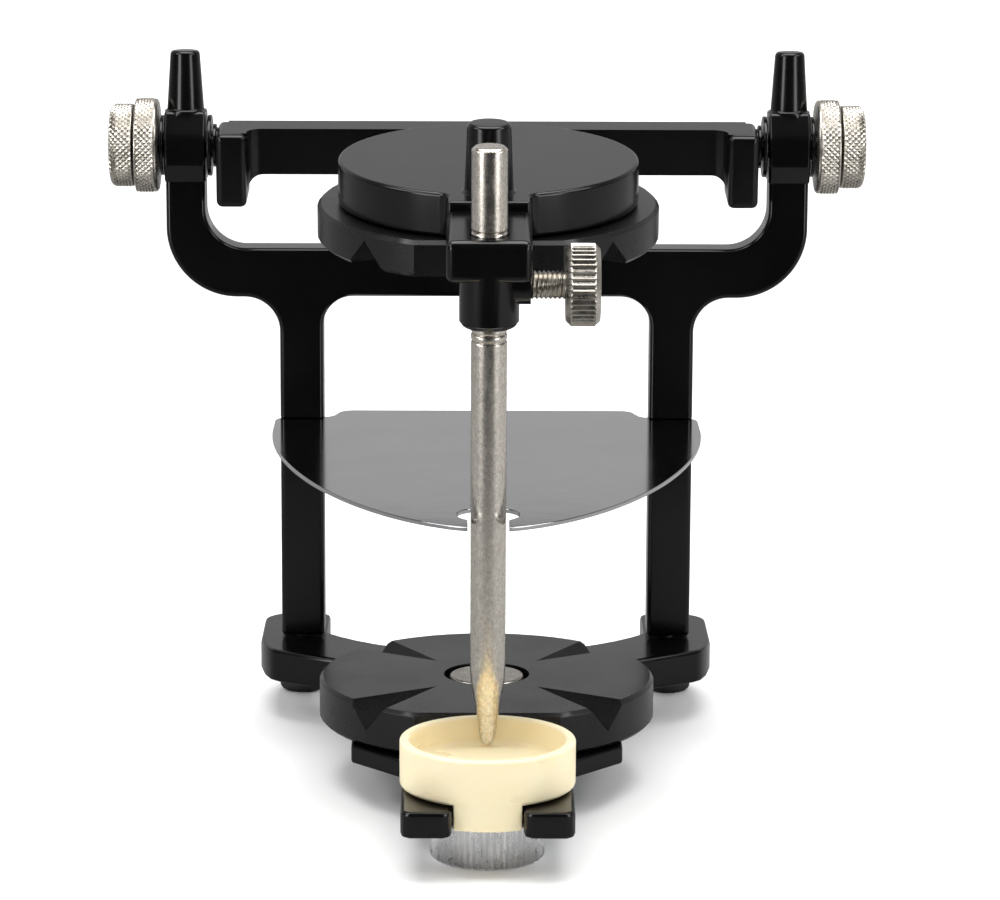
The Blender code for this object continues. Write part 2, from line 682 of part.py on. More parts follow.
def neck_outline():
    """The neck that rises from the bar to the disc, seen from the side."""
    bar_low, bar_high = -4.0 * MM, 3.6 * MM
    ramp_foot, ramp_head = -10.0 * MM, -22.0 * MM
    disc_high = 9.0 * MM
    disc_end = -32.0 * MM
    underside_start, underside_end = -19.0 * MM, -11.0 * MM
    return [(0.0, bar_low), (0.0, bar_high), (ramp_foot, bar_high), (ramp_head, disc_high),
            (disc_end, disc_high), (disc_end, DISC_BOTTOM + MM), (underside_start, DISC_BOTTOM + MM),
            (underside_end, bar_low)]


def make_upper_casting(pivot):
    casting = slab("upper_frame", bar_front_outline(), LUG_FRONT_Y - MM, BAR_BACK_Y + MM, "XZ")
    bar_plan = slab("bar_plan", bar_plan_outline(), LUG_BOTTOM - MM, BAR_TOP + MM, helper=True)
    boolean(casting, bar_plan, "INTERSECT")
    neck = slab("neck", neck_outline(), -16 * MM, 16 * MM, "YZ", helper=True)
    disc = bevel(slab("disc", disc_outline(), DISC_BOTTOM, DISC_TOP, helper=True), 0.6 * MM, 1)
    block = slab("block", rectangle(-BLOCK_HALF_WIDTH, BLOCK_FRONT_Y, BLOCK_HALF_WIDTH, -84.0 * MM),
                 BLOCK_BOTTOM, BLOCK_TOP, helper=True)
    bevel(block, 1.2 * MM)
    sleeve_edge = 1.0 * MM
    sleeve = turned("sleeve", [(0, 5 * MM), (SLEEVE_RADIUS, 5 * MM),
                               (SLEEVE_RADIUS, SLEEVE_BOTTOM + sleeve_edge),
                               (SLEEVE_RADIUS - 1.6 * sleeve_edge, SLEEVE_BOTTOM), (0, SLEEVE_BOTTOM)],
                    32, helper=True)
    move(sleeve, 0, PIN_Y)
    side_boss = rod("side_boss", 3.45 * MM, 0, SIDE_BOSS_END_X, "+X", 24, helper=True)
    move(side_boss, 0, PIN_Y, LOCK_Z)
    peg = turned("front_peg", peg_profile(FRONT_PEG_HEIGHT, 0, 4.0 * MM, 4.5 * MM, 0.6 * MM), 24, helper=True)
    move(peg, 0, FRONT_PEG_Y, DISC_TOP)
    join(casting, neck, disc, block, sleeve, side_boss, peg)
    pin_bore = rod("pin_bore", PIN_RADIUS + GAP, -20 * MM, 20 * MM, steps=32, helper=True)
    move(pin_bore, 0, PIN_Y)
    lock_bore = rod("lock_bore", LOCK_THREAD_RADIUS + GAP, 0, 20 * MM, "+X", helper=True)
    move(lock_bore, 0, PIN_Y, LOCK_Z)
    plate_hole = rod("upper_screw_hole", 2.2 * MM, 0, UPPER_PLATE_TOP + 3.6 * MM, steps=16, helper=True)
    move(plate_hole, 0, UPPER_PLATE_Y)
    cut(casting, pin_bore, lock_bore, plate_hole)
    for side, x in SIDES:
        cut(casting, rod("bush_bore_" + side, 3.9 * MM, 46 * MM, 60 * MM, side_axis(x), helper=True))
    bake(casting)
    paint(casting, BLACK, 0.3, 0.0)
    hang_on(casting, pivot)


def make_bushes(pivot):
    """Flanged bushes in the lugs, which turn on the condylar screws."""
    sleeve_radius = 3.6 * MM
    flange_radius = 4.3 * MM
    hole = AXLE_RADIUS + GAP
    flange_start = LUG_OUTER_X + GAP
    flange_end = 54.6 * MM
    sleeve_start = 48.0 * MM
    for side, x in SIDES:
        profile = [(hole, flange_end), (flange_radius, flange_end), (flange_radius, flange_start),
                   (sleeve_radius, flange_start), (sleeve_radius, sleeve_start), (hole, sleeve_start)]
        bush = turned("axle_bush_" + side, profile, 20, side_axis(x))
        paint(bush, BLACK, 0.4, 0.0)
        hang_on(bush, pivot)


# ---------------------------------------------------------------- incisal pin and lock screw

def make_pin(pivot):
    """The pin, with reading grooves round it and a bullet-shaped point."""
    groove_depth = 0.2 * MM
    groove_half = 0.2 * MM
    chamfer = 0.6 * MM
    profile = [(0, PIN_TOP), (PIN_RADIUS - chamfer, PIN_TOP), (PIN_RADIUS, PIN_TOP - chamfer)]
    for height in (9.5 * MM, -9.0 * MM, -10.4 * MM):
        profile += [(PIN_RADIUS, height + groove_half), (PIN_RADIUS - groove_depth, height),
                    (PIN_RADIUS, height - groove_half)]
    point = ((3.2, 13.8), (3.0, 12.2), (2.4, 8.8), (1.9, 5.5), (1.5, 2.2), (1.2, 0.9), (0.7, 0.25), (0, 0))
    profile += [(radius * MM, PIN_TIP + height * MM) for radius, height in point]
    pin = move(turned("incisal_pin", profile, 20), 0, PIN_Y)
    paint(pin, SATIN_STEEL, 0.35, 1.0)
    hang_on(pin, pivot, (0, PIN_Y, 0))


def make_lock_screw(pivot):
    """A soft pad that bears on the pin, a threaded stud behind it and the stud's knurled head."""
    origin = (0, PIN_Y, LOCK_Z)
    pad = rod("pin_pressure_pad", 2.2 * MM, PIN_RADIUS + GAP, 5.0 * MM, "+X")
    stud = rod("pin_lock_stud", LOCK_THREAD_RADIUS, 5.3 * MM, LOCK_THREAD_END_X, "+X", 24)
    hole = LOCK_THREAD_RADIUS + GAP
    edge = 1.0 * MM
    collar = 0.9 * MM
    head = turned("pin_lock_knob",
                  [(0, LOCK_HEAD_OUTER_X), (LOCK_HEAD_RADIUS - edge, LOCK_HEAD_OUTER_X),
                   (LOCK_HEAD_RADIUS, LOCK_HEAD_OUTER_X - edge), (LOCK_HEAD_RADIUS, LOCK_HEAD_INNER_X + collar),
                   (LOCK_HEAD_RADIUS - collar, LOCK_HEAD_INNER_X), (hole, LOCK_HEAD_INNER_X),
                   (hole, LOCK_THREAD_END_X + GAP), (0, LOCK_THREAD_END_X + GAP)], 28, "+X")
    for part, colour in ((pad, BRASS), (stud, NICKEL), (head, NICKEL)):
        paint(part, colour, 0.3, 1.0)
        part.location = origin
        part.parent = pivot


# ---------------------------------------------------------------- incisal table

def make_table_cup():
    """A dished cup whose flat-sided boss slides in the fork's slot, flush with the wall in front."""
    wall_foot = 1.2 * MM
    rounding = 0.8 * MM
    profile = [(0, CUP_FLOOR), (CUP_INNER_RADIUS - wall_foot, CUP_FLOOR),
               (CUP_INNER_RADIUS - 0.3 * MM, CUP_FLOOR + 0.6 * MM),
               (CUP_INNER_RADIUS, CUP_RIM - 0.3 * MM), (CUP_INNER_RADIUS + 0.4 * MM, CUP_RIM),
               (CUP_RADIUS - 0.4 * MM, CUP_RIM), (CUP_RADIUS, CUP_RIM - 0.4 * MM)]
    profile += [(CUP_RADIUS - rounding + x, CUP_BOTTOM + rounding + z)
                for x, z in arc(0, 0, rounding, 0, -90, 3)]
    profile += [(0, CUP_BOTTOM)]
    cup = turned("incisal_table_cup", profile, 36)
    boss_outline_points = []
    for radius, turned_by in ((CUP_BOSS_BACK_RADIUS, 0), (CUP_BOSS_FRONT_RADIUS, 180)):
        flat_angle = math.degrees(math.acos(CUP_BOSS_HALF_FLAT / radius))
        boss_outline_points += arc(0, 0, radius, turned_by + flat_angle, turned_by + 180 - flat_angle, 8)
    boss = slab("cup_boss", boss_outline_points, CUP_BOSS_BOTTOM, CUP_BOTTOM + MM, helper=True)
    stud_hole = rod("stud_hole", STUD_RADIUS + GAP, BASE_BOTTOM - MM, 15.0 * MM, steps=16, helper=True)
    join(cup, boss)
    cut(cup, stud_hole)
    bake(cup)
    paint(cup, CREAM, 0.35, 0.0)
    cup.location = (0, TABLE_Y, 0)


def make_table_stud():
    stud = rod("table_stud", STUD_RADIUS, 2.6 * MM, 14.7 * MM, steps=16)
    paint(stud, STEEL, 0.35, 1.0)
    stud.location = (0, TABLE_Y, 0)


def make_table_nut():
    """A round thumb nut under the fork, with a blind thread and a rounded lower edge."""
    hole = STUD_RADIUS + GAP
    rounding = 0.8 * MM
    edge = 0.4 * MM
    profile = [(hole, NUT_TOP), (NUT_RADIUS - edge, NUT_TOP), (NUT_RADIUS, NUT_TOP - edge)]
    profile += [(NUT_RADIUS - rounding + x, rounding + z) for x, z in arc(0, 0, rounding, 0, -90, 3)]
    profile += [(0, 0)]
    nut = turned("table_lock_nut", [(0, 2.2 * MM), (hole, 2.2 * MM)] + profile, 32)
    paint(nut, ALUMINIUM, 0.3, 1.0)
    nut.location = (0, TABLE_Y, 0)


# ---------------------------------------------------------------- occlusal plate

def occlusal_outline():
    """A plate shaped like a dental arch, with a pin slot in front and a tab between the posts.

    The arch is a superellipse. Its fullness is 2 for a true ellipse and less for a leaner one.
    """
    side_y = 46.5 * MM
    depth = OCCLUSAL_WING_Y - OCCLUSAL_FRONT_Y
    power = 2 / OCCLUSAL_FULLNESS
    slot_turn = math.acos((PIN_SLOT_HALF_WIDTH / OCCLUSAL_WING_X) ** (1 / power))
    hole_angle = math.degrees(math.asin(PIN_SLOT_HALF_WIDTH / PIN_HOLE_RADIUS))
    steps = 20
    right = arc(0, PIN_HOLE_Y, PIN_HOLE_RADIUS, 90, -90 + hole_angle, 10)
    for step in range(steps, -1, -1):
        turn = slot_turn * step / steps
        right.append((OCCLUSAL_WING_X * math.cos(turn) ** power,
                      OCCLUSAL_WING_Y - depth * math.sin(turn) ** power))
    right += [(OCCLUSAL_WING_X, side_y), (OCCLUSAL_WING_X - 0.9 * MM, side_y + 2.4 * MM),
              (OCCLUSAL_WING_X - 3.0 * MM, OCCLUSAL_SHOULDER_Y), (OCCLUSAL_TAB_X + MM, OCCLUSAL_SHOULDER_Y),
              (OCCLUSAL_TAB_X, OCCLUSAL_SHOULDER_Y + MM), (OCCLUSAL_TAB_X - MM, OCCLUSAL_TAB_Y - 2 * MM),
              (OCCLUSAL_TAB_X - 3 * MM, OCCLUSAL_TAB_Y), (0.0, OCCLUSAL_TAB_Y)]
    left = [(-x, y) for x, y in reversed(right[1:-1])]
    return right + left


def make_occlusal_plate():
    plate = slab("occlusal_plate", occlusal_outline(), OCCLUSAL_TOP - OCCLUSAL_THICKNESS, OCCLUSAL_TOP)
    paint(plate, STEEL, 0.08, 1.0)


# ---------------------------------------------------------------- assembly

def main():
    make_base()
    make_feet()
    make_frame_screws()
    make_upright_frame()
    for side, x in SIDES:
        make_condyle(side, x)
    make_lower_plate()
    pivot = bpy.data.objects.new("upper_member_pivot", None)
    PARTS.objects.link(pivot)
    pivot.location = (0, PIVOT_Y, PIVOT_Z)
    pivot.rotation_euler = (CLOSED_TILT, 0, 0)
    make_upper_casting(pivot)
    make_upper_plate(pivot)
    make_bushes(pivot)
    make_pin(pivot)
    make_lock_screw(pivot)
    make_table_cup()
    make_table_stud()
    make_table_nut()
    make_occlusal_plate()


clear_scene()
PARTS = new_collection("dental_articulator")
HELPERS = new_collection("helpers")
main()
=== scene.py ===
"""Looks of the dental articulator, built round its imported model.

Frame: X to the right, Y to the back, Z up, in metres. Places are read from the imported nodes'
boxes and joints where those give them, and the other sizes are named values. The base plate,
the split-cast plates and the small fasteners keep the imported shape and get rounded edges. The
two other castings and all turned, knurled, fluted and threaded pieces are made anew, finer.
"""
import json
import math

import bmesh
import bpy
from mathutils import Matrix, Vector


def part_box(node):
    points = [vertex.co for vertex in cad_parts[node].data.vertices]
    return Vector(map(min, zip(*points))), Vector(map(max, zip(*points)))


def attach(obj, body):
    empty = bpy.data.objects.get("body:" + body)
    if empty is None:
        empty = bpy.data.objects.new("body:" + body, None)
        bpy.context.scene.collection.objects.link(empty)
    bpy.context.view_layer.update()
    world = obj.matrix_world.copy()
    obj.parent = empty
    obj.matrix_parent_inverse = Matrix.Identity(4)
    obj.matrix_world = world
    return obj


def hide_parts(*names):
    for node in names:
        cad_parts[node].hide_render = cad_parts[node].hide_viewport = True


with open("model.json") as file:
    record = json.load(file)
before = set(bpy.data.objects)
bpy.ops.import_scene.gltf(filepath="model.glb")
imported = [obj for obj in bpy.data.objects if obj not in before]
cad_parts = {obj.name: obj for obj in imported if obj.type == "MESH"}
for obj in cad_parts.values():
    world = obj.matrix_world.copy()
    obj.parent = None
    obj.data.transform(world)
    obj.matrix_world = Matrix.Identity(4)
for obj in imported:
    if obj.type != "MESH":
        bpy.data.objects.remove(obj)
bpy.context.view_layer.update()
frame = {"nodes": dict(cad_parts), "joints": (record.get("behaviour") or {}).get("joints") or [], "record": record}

MM = 0.001
SIDES = (("left", -1), ("right", 1))
AXIS_OF = {"left": "-X", "right": "+X"}
THREAD_HOLE = 2.9 * MM
ON_AXIS = 1e-7
CAST_SMOOTH_ANGLE = 34.0

BODY_OF = {node: body
           for body, nodes in frame["record"]["behaviour"]["bodies"].items()
           for node in nodes}
SLOT_OF = {item["node"]: item["material_slot"] for item in frame["record"]["subparts"]}
JOINTS = {joint["name"]: joint for joint in frame["joints"]}


def upper_member_place():
    """The upper member's own frame: the hinge point, tipped as the incisal pin leans."""
    hinge = JOINTS["upper_member_hinge"]["pos_m"]
    pin_axis = JOINTS["incisal_pin_slide"]["axis"]
    tilt = math.atan2(-pin_axis[1], pin_axis[2])
    return Matrix.Translation(hinge) @ Matrix.Rotation(tilt, 4, "X")


UPPER = upper_member_place()


def local_box(node, place):
    """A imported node's lowest and highest corners, measured in a frame of its own."""
    points = [place.inverted() @ vertex.co for vertex in frame["nodes"][node].data.vertices]
    low = Vector([min(point[axis] for point in points) for axis in range(3)])
    high = Vector([max(point[axis] for point in points) for axis in range(3)])
    return low, high


# ---------------------------------------------------------------- node helpers

def new_material(name):
    material = bpy.data.materials.new(name)
    material.use_nodes = True
    tree = material.node_tree
    return material, tree, tree.nodes["Principled BSDF"]


def add_node(tree, kind, **values):
    """A node whose inputs and settings are given by name."""
    node = tree.nodes.new(kind)
    for name, value in values.items():
        socket_name = name.replace("_", " ")
        if socket_name in node.inputs:
            node.inputs[socket_name].default_value = value
        else:
            setattr(node, name, value)
    return node


def object_point(tree, stretch=(1.0, 1.0, 1.0)):
    """The point on the piece, with each axis scaled to draw a pattern out along the others."""
    place = add_node(tree, "ShaderNodeTexCoord")
    scaled = add_node(tree, "ShaderNodeMapping")
    scaled.inputs["Scale"].default_value = stretch
    tree.links.new(place.outputs["Object"], scaled.inputs["Vector"])
    return scaled.outputs["Vector"]


def noise(tree, point, scale, detail, roughness=0.55):
    node = add_node(tree, "ShaderNodeTexNoise", Scale=scale, Detail=detail, Roughness=roughness)
    tree.links.new(point, node.inputs["Vector"])
    return node.outputs["Fac"]


def spread(tree, value, low, high, from_low=0.3, from_high=0.7):
    """Map a value onto a range. A noise value lies mostly between the two from values."""
    node = add_node(tree, "ShaderNodeMapRange")
    node.inputs["From Min"].default_value = from_low
    node.inputs["From Max"].default_value = from_high
    node.inputs["To Min"].default_value = low
    node.inputs["To Max"].default_value = high
    tree.links.new(value, node.inputs["Value"])
    return node.outputs["Result"]


def blend_colours(tree, factor, first, second):
    """Blend two colours, each given as numbers or as another node's output."""
    node = add_node(tree, "ShaderNodeMix", data_type="RGBA")
    colours = [socket for socket in node.inputs if socket.type == "RGBA"]
    for socket, colour in zip(colours, (first, second)):
        if isinstance(colour, tuple):
            socket.default_value = colour
        else:
            tree.links.new(colour, socket)
    tree.links.new(factor, node.inputs[0])
    return [socket for socket in node.outputs if socket.type == "RGBA"][0]


def brighter(colour, times):
    return tuple(times * channel for channel in colour[:3]) + (1.0,)


def bumps(tree, shader, *layers):
    """Stack (height, distance) layers into the shader's normal."""
    normal = None
    for height, distance in layers:
        node = add_node(tree, "ShaderNodeBump", Strength=1.0, Distance=distance)
        tree.links.new(height, node.inputs["Height"])
        if normal:
            tree.links.new(normal, node.inputs["Normal"])
        normal = node.outputs["Normal"]
    tree.links.new(normal, shader.inputs["Normal"])


# ---------------------------------------------------------------- materials

def enamel(name, colour, roughness, ior, texture):
    """Stoved black enamel on a casting: slight orange peel, faint rubbed patches and dust."""
    material, tree, shader = new_material(name)
    point = object_point(tree)
    peel = noise(tree, point, scale=900.0, detail=2.0)
    patches = noise(tree, point, scale=55.0, detail=5.0)
    dust = noise(tree, point, scale=2600.0, detail=1.0)
    dust_share = 0.12
    shader.inputs["IOR"].default_value = ior
    shade = blend_colours(tree, spread(tree, patches, 0.0, 1.0), colour, brighter(colour, 1.5))
    tree.links.new(shade, shader.inputs["Base Color"])
    tree.links.new(spread(tree, patches, roughness * 0.85, roughness * 1.2), shader.inputs["Roughness"])
    bumps(tree, shader, (peel, texture * MM), (dust, dust_share * texture * MM))
    return material


def metal(name, colour, dark, roughness, grain=(1.0, 1.0, 1.0), grain_scale=700.0, texture=0.004,
          mottle_scale=260.0):
    """Bare metal: mottled tone, fine grain drawn out by the machining, and uneven polish."""
    material, tree, shader = new_material(name)
    shader.inputs["Metallic"].default_value = 1.0
    point = object_point(tree)
    mottle = noise(tree, point, mottle_scale, detail=5.0, roughness=0.6)
    lines = noise(tree, object_point(tree, grain), grain_scale, detail=3.0, roughness=0.6)
    tone = spread(tree, mottle, 0.0, 1.0, from_low=0.35, from_high=0.65)
    shade = blend_colours(tree, tone, dark, colour)
    tree.links.new(shade, shader.inputs["Base Color"])
    tree.links.new(spread(tree, lines, roughness * 0.75, roughness * 1.3), shader.inputs["Roughness"])
    bumps(tree, shader, (lines, texture * MM))
    return material


def plastic(name, colour, second, roughness):
    """Moulded plastic with a little light inside it, faint flow marks and a fine skin."""
    material, tree, shader = new_material(name)
    point = object_point(tree)
    flow = noise(tree, object_point(tree, (1.0, 1.0, 3.0)), scale=60.0, detail=4.0)
    skin = noise(tree, point, scale=1500.0, detail=2.0)
    skin_height = 0.0015 * MM
    shade = blend_colours(tree, spread(tree, flow, 0.0, 1.0), colour, second)
    tree.links.new(shade, shader.inputs["Base Color"])
    tree.links.new(spread(tree, flow, roughness * 0.85, roughness * 1.2), shader.inputs["Roughness"])
    shader.inputs["Subsurface Weight"].default_value = 0.35
    shader.inputs["Subsurface Radius"].default_value = (1.0, 0.75, 0.45)
    shader.inputs["Subsurface Scale"].default_value = 1.2 * MM
    bumps(tree, shader, (skin, skin_height))
    return material


def rubber(name, colour):
    material, tree, shader = new_material(name)
    point = object_point(tree)
    grain = noise(tree, point, scale=1400.0, detail=4.0, roughness=0.7)
    grain_height = 0.02 * MM
    shade = blend_colours(tree, spread(tree, grain, 0.0, 1.0), colour, brighter(colour, 2))
    tree.links.new(shade, shader.inputs["Base Color"])
    tree.links.new(spread(tree, grain, low=0.6, high=0.85), shader.inputs["Roughness"])
    bumps(tree, shader, (grain, grain_height))
    return material


def make_materials():
    black = (0.0017, 0.0017, 0.0019, 1.0)
    plate_black = (0.0045, 0.0045, 0.0048, 1.0)
    cream = (0.95, 0.82, 0.54, 1.0)
    pale_cream = (0.97, 0.85, 0.59, 1.0)
    return {
        "black_enamel": enamel("black_enamel", black, roughness=0.19, ior=1.40, texture=0.0035),
        "black_plate": enamel("black_plate", plate_black, roughness=0.26, ior=1.42, texture=0.004),
        "nickel": metal("nickel", (0.60, 0.565, 0.51, 1.0), (0.44, 0.41, 0.36, 1.0), roughness=0.30),
        "satin_steel": metal("satin_steel", (0.76, 0.71, 0.645, 1.0), (0.57, 0.53, 0.47, 1.0),
                             roughness=0.26, grain=(1.0, 1.0, 0.25), grain_scale=1100.0,
                             texture=0.002, mottle_scale=1400.0),
        "screw_steel": metal("screw_steel", (0.55, 0.55, 0.56, 1.0), (0.33, 0.33, 0.34, 1.0),
                             roughness=0.32),
        "mirror_steel": metal("mirror_steel", (0.50, 0.50, 0.51, 1.0), (0.46, 0.46, 0.47, 1.0),
                              roughness=0.11, grain=(0.15, 1.0, 1.0), grain_scale=900.0,
                              texture=0.001, mottle_scale=40.0),
        "cream_plastic": plastic("cream_plastic", cream, pale_cream, roughness=0.30),
        "nut_aluminium": metal("nut_aluminium", (0.97, 0.97, 0.97, 1.0), (0.90, 0.90, 0.91, 1.0),
                               roughness=0.30, texture=0.001),
        "brass": metal("brass", (0.72, 0.53, 0.25, 1.0), (0.52, 0.36, 0.15, 1.0), roughness=0.3),
        "foot_rubber": rubber("foot_rubber", (0.012, 0.012, 0.012, 1.0)),
    }


MATERIALS = make_materials()


# ---------------------------------------------------------------- pieces

def as_piece(name, mesh, node):
    """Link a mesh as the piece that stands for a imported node, on that node's body."""
    part = bpy.data.objects.new(name, mesh)
    bpy.context.scene.collection.objects.link(part)
    mesh.materials.clear()
    mesh.materials.append(MATERIALS[SLOT_OF[node]])
    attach(part, BODY_OF[node])
    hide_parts(node)
    return part


def smooth(part, angle):
    """Smooth shading that keeps flat faces flat and real corners sharp."""
    part.data.shade_smooth()
    part.data.set_sharp_from_angle(angle=math.radians(angle))
    weighted = part.modifiers.new("flat_faces", "WEIGHTED_NORMAL")
    weighted.keep_sharp = True
    weighted.weight = 80
    return part


def refined(node, suffix, width, segments=3):
    """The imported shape, with its facets merged and its edges rounded over."""
    same_point = 0.002 * MM
    flat_angle = math.radians(0.4)
    mesh = frame["nodes"][node].data.copy()
    shape = bmesh.new()
    shape.from_mesh(mesh)
    bmesh.ops.remove_doubles(shape, verts=shape.verts, dist=same_point)
    bmesh.ops.dissolve_limit(shape, angle_limit=flat_angle, verts=shape.verts, edges=shape.edges)
    bmesh.ops.recalc_face_normals(shape, faces=shape.faces)
    shape.to_mesh(mesh)
    shape.free()
    part = as_piece(node + suffix, mesh, node)
    return smooth(round_edges(part, width, segments), CAST_SMOOTH_ANGLE)


# ---------------------------------------------------------------- turned pieces

AXES = {
    "+Z": Matrix.Identity(4),
    "-Z": Matrix.Rotation(math.pi, 4, "X"),
    "+X": Matrix.Rotation(math.pi / 2, 4, "Y"),
    "-X": Matrix.Rotation(-math.pi / 2, 4, "Y"),
}


def lathe(profile, columns, axis="+Z", relief=None):
    """A mesh turned from (radius, height) points, which run from its top down its outside.

    relief(turn, row) gives how far a point sinks towards the axis, with turn from 0 to 1
    round the piece and row counted down the profile. A profile that starts off the axis
    closes on itself as a ring.
    """
    shape = bmesh.new()
    rows = []
    for row, (radius, height) in enumerate(profile):
        if radius < ON_AXIS:
            rows.append([shape.verts.new((0.0, 0.0, height))])
            continue
        line = []
        for column in range(columns):
            turn = column / columns
            sunk = radius - (relief(turn, row) if relief else 0.0)
            angle = 2 * math.pi * turn
            line.append(shape.verts.new((sunk * math.cos(angle), sunk * math.sin(angle), height)))
        rows.append(line)
    if len(rows[0]) > 1:
        rows.append(rows[0])
    for upper, lower in zip(rows, rows[1:]):
        for column in range(columns):
            stitch(shape, upper, lower, column, (column + 1) % columns)
    bmesh.ops.recalc_face_normals(shape, faces=shape.faces)
    mesh = bpy.data.meshes.new("turned")
    shape.to_mesh(mesh)
    shape.free()
    mesh.transform(AXES[axis])
    return mesh


def stitch(shape, upper, lower, column, beside):
    """The face between two rows, split along its lower diagonal where it isn't flat."""
    if len(upper) == 1:
        shape.faces.new((upper[0], lower[column], lower[beside]))
        return
    if len(lower) == 1:
        shape.faces.new((upper[column], lower[0], upper[beside]))
        return
    flat_enough = 1e-6
    top, bottom = upper[column], lower[column]
    next_bottom, next_top = lower[beside], upper[beside]
    difference = reach(top) + reach(next_bottom) - reach(bottom) - reach(next_top)
    if difference < -flat_enough:
        shape.faces.new((top, bottom, next_bottom))
        shape.faces.new((top, next_bottom, next_top))
    elif difference > flat_enough:
        shape.faces.new((top, bottom, next_top))
        shape.faces.new((bottom, next_bottom, next_top))
    else:
        shape.faces.new((top, bottom, next_bottom, next_top))


def reach(vertex):
    """How far a point is from the axis."""
    return math.hypot(vertex.co.x, vertex.co.y)


def corner(radius, height, size, start, end, steps=4):
    """A rounded corner of a profile, from its centre, its size and its two angles."""
    points = []
    for step in range(steps + 1):
        angle = math.radians(start + (end - start) * step / steps)
        points.append((radius + size * math.cos(angle), height + size * math.sin(angle)))
    return points


def turned_piece(suffix, node, profile, columns, axis, place, relief=None, angle=32.0):
    mesh = lathe(profile, columns, axis, relief)
    mesh.transform(place)
    return smooth(as_piece(node + suffix, mesh, node), angle)


def middle(node):
    low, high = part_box(node)
    return (low + high) / 2, high - low


def dished_face(radius, half, dish):
    """The middle of a wheel's outer face: a shallow round dish with a narrow slope round it."""
    dish_share, slope_share = 0.5, 0.56
    return [(0.0, half - dish), (dish_share * radius, half - dish), (slope_share * radius, half)]


def knurled_wheel(node, axis, closed, around):
    """A diamond-knurled wheel. The knob's knurl runs on over its rounded outer edge, and the
    ring's stops at two polished bevels."""
    centre, size = middle(node)
    radius = size.z / 2
    half = size.x / 2
    outer_edge = 1.4 * MM if closed else 0.4 * MM
    inner_edge = 0.3 * MM if closed else 0.85 * MM
    cut_depth = 0.27 * MM
    end_share = 0.4
    edge_step = 0.08 * MM
    end_wall = 0.9 * MM
    spacing = math.pi * radius / around
    band = 2 * half - outer_edge - inner_edge
    cells = max(2, round(band / spacing))
    straight = [(radius, half - outer_edge - band * cell / cells) for cell in range(cells + 1)]
    if closed:
        profile = dished_face(radius, half, 0.3 * MM) + [(radius - outer_edge - 0.1 * MM, half)]
        shoulder = corner(radius - outer_edge, half - outer_edge, outer_edge, 78, 0)[:-1]
    else:
        profile = [(THREAD_HOLE, half)]
        profile += corner(radius - outer_edge, half - outer_edge, outer_edge - edge_step, 90, 8)
        shoulder = []
    first = len(profile)
    profile += shoulder + straight
    last = len(profile) - 1
    profile += corner(radius - inner_edge, inner_edge - half, inner_edge - edge_step, -8, -90)
    profile += [(THREAD_HOLE, -half)]
    if closed:
        profile += [(THREAD_HOLE, half - end_wall), (0.0, half - end_wall)]

    def relief(turn, row):
        if not first <= row <= last:
            return 0.0
        column = round(turn * 2 * around)
        if (column + row - first) % 2:
            return cut_depth
        return end_share * cut_depth if row in (first, last) else 0.0

    turned_piece("_knurled", node, profile, 2 * around, axis, Matrix.Translation(centre), relief, 20.0)


def ridged_wheel(node, axis):
    """The lock screw's head: straight rounded ridges between two polished bevels."""
    ridges = 40
    columns = ridges * 8
    ridge_depth = 0.42 * MM
    run_out = 0.35 * MM
    bevel = 0.9 * MM
    soft_run, soft_fall = 0.15 * MM, 0.05 * MM
    end_wall = 1.0 * MM
    centre, size = middle(node)
    radius = size.z / 2
    half = size.x / 2
    profile = dished_face(radius, half, 0.25 * MM)
    profile += [(radius - bevel - soft_run, half), (radius - bevel, half - soft_fall),
                (radius - soft_run, half - bevel + soft_fall)]
    first = len(profile)
    rows = (half - bevel, half - bevel - run_out, bevel + run_out - half, bevel - half)
    profile += [(radius, height) for height in rows]
    last = len(profile) - 1
    profile += [(radius - soft_run, bevel - soft_fall - half), (radius - bevel, soft_fall - half),
                (radius - bevel - soft_run, -half), (THREAD_HOLE, -half),
                (THREAD_HOLE, half - end_wall), (0.0, half - end_wall)]

    def relief(turn, row):
        if not first <= row <= last:
            return 0.0
        wave = 0.5 - 0.5 * math.cos(2 * math.pi * turn * ridges)
        depth = ridge_depth if first < row < last else 0.5 * ridge_depth
        return depth * wave ** 0.7

    turned_piece("_ridged", node, profile, columns, axis, Matrix.Translation(centre), relief, 40.0)


def threaded(node, axis, pitch, depth):
    """A screw with a helical thread and chamfered ends, as long and as thick as its node."""
    rows_per_turn = 6
    columns = 32
    tip = 0.4 * MM
    chamfer = 0.2 * MM
    centre, size = middle(node)
    length, radius = (size.z, size.x / 2) if axis == "+Z" else (size.x, size.z / 2)
    rows = int((length - 2 * tip) / pitch * rows_per_turn)
    core = radius - depth - chamfer
    profile = [(0.0, length / 2), (core, length / 2)]
    first = len(profile)
    profile += [(radius, length / 2 - tip - (length - 2 * tip) * row / rows) for row in range(rows + 1)]
    last = len(profile) - 1
    profile += [(core, -length / 2), (0.0, -length / 2)]

    def relief(turn, row):
        if not first <= row <= last:
            return 0.0
        phase = (profile[row][1] / pitch + turn) % 1.0
        return depth * (1 - abs(2 * phase - 1))

    turned_piece("_thread", node, profile, columns, axis, Matrix.Translation(centre), relief, 60.0)


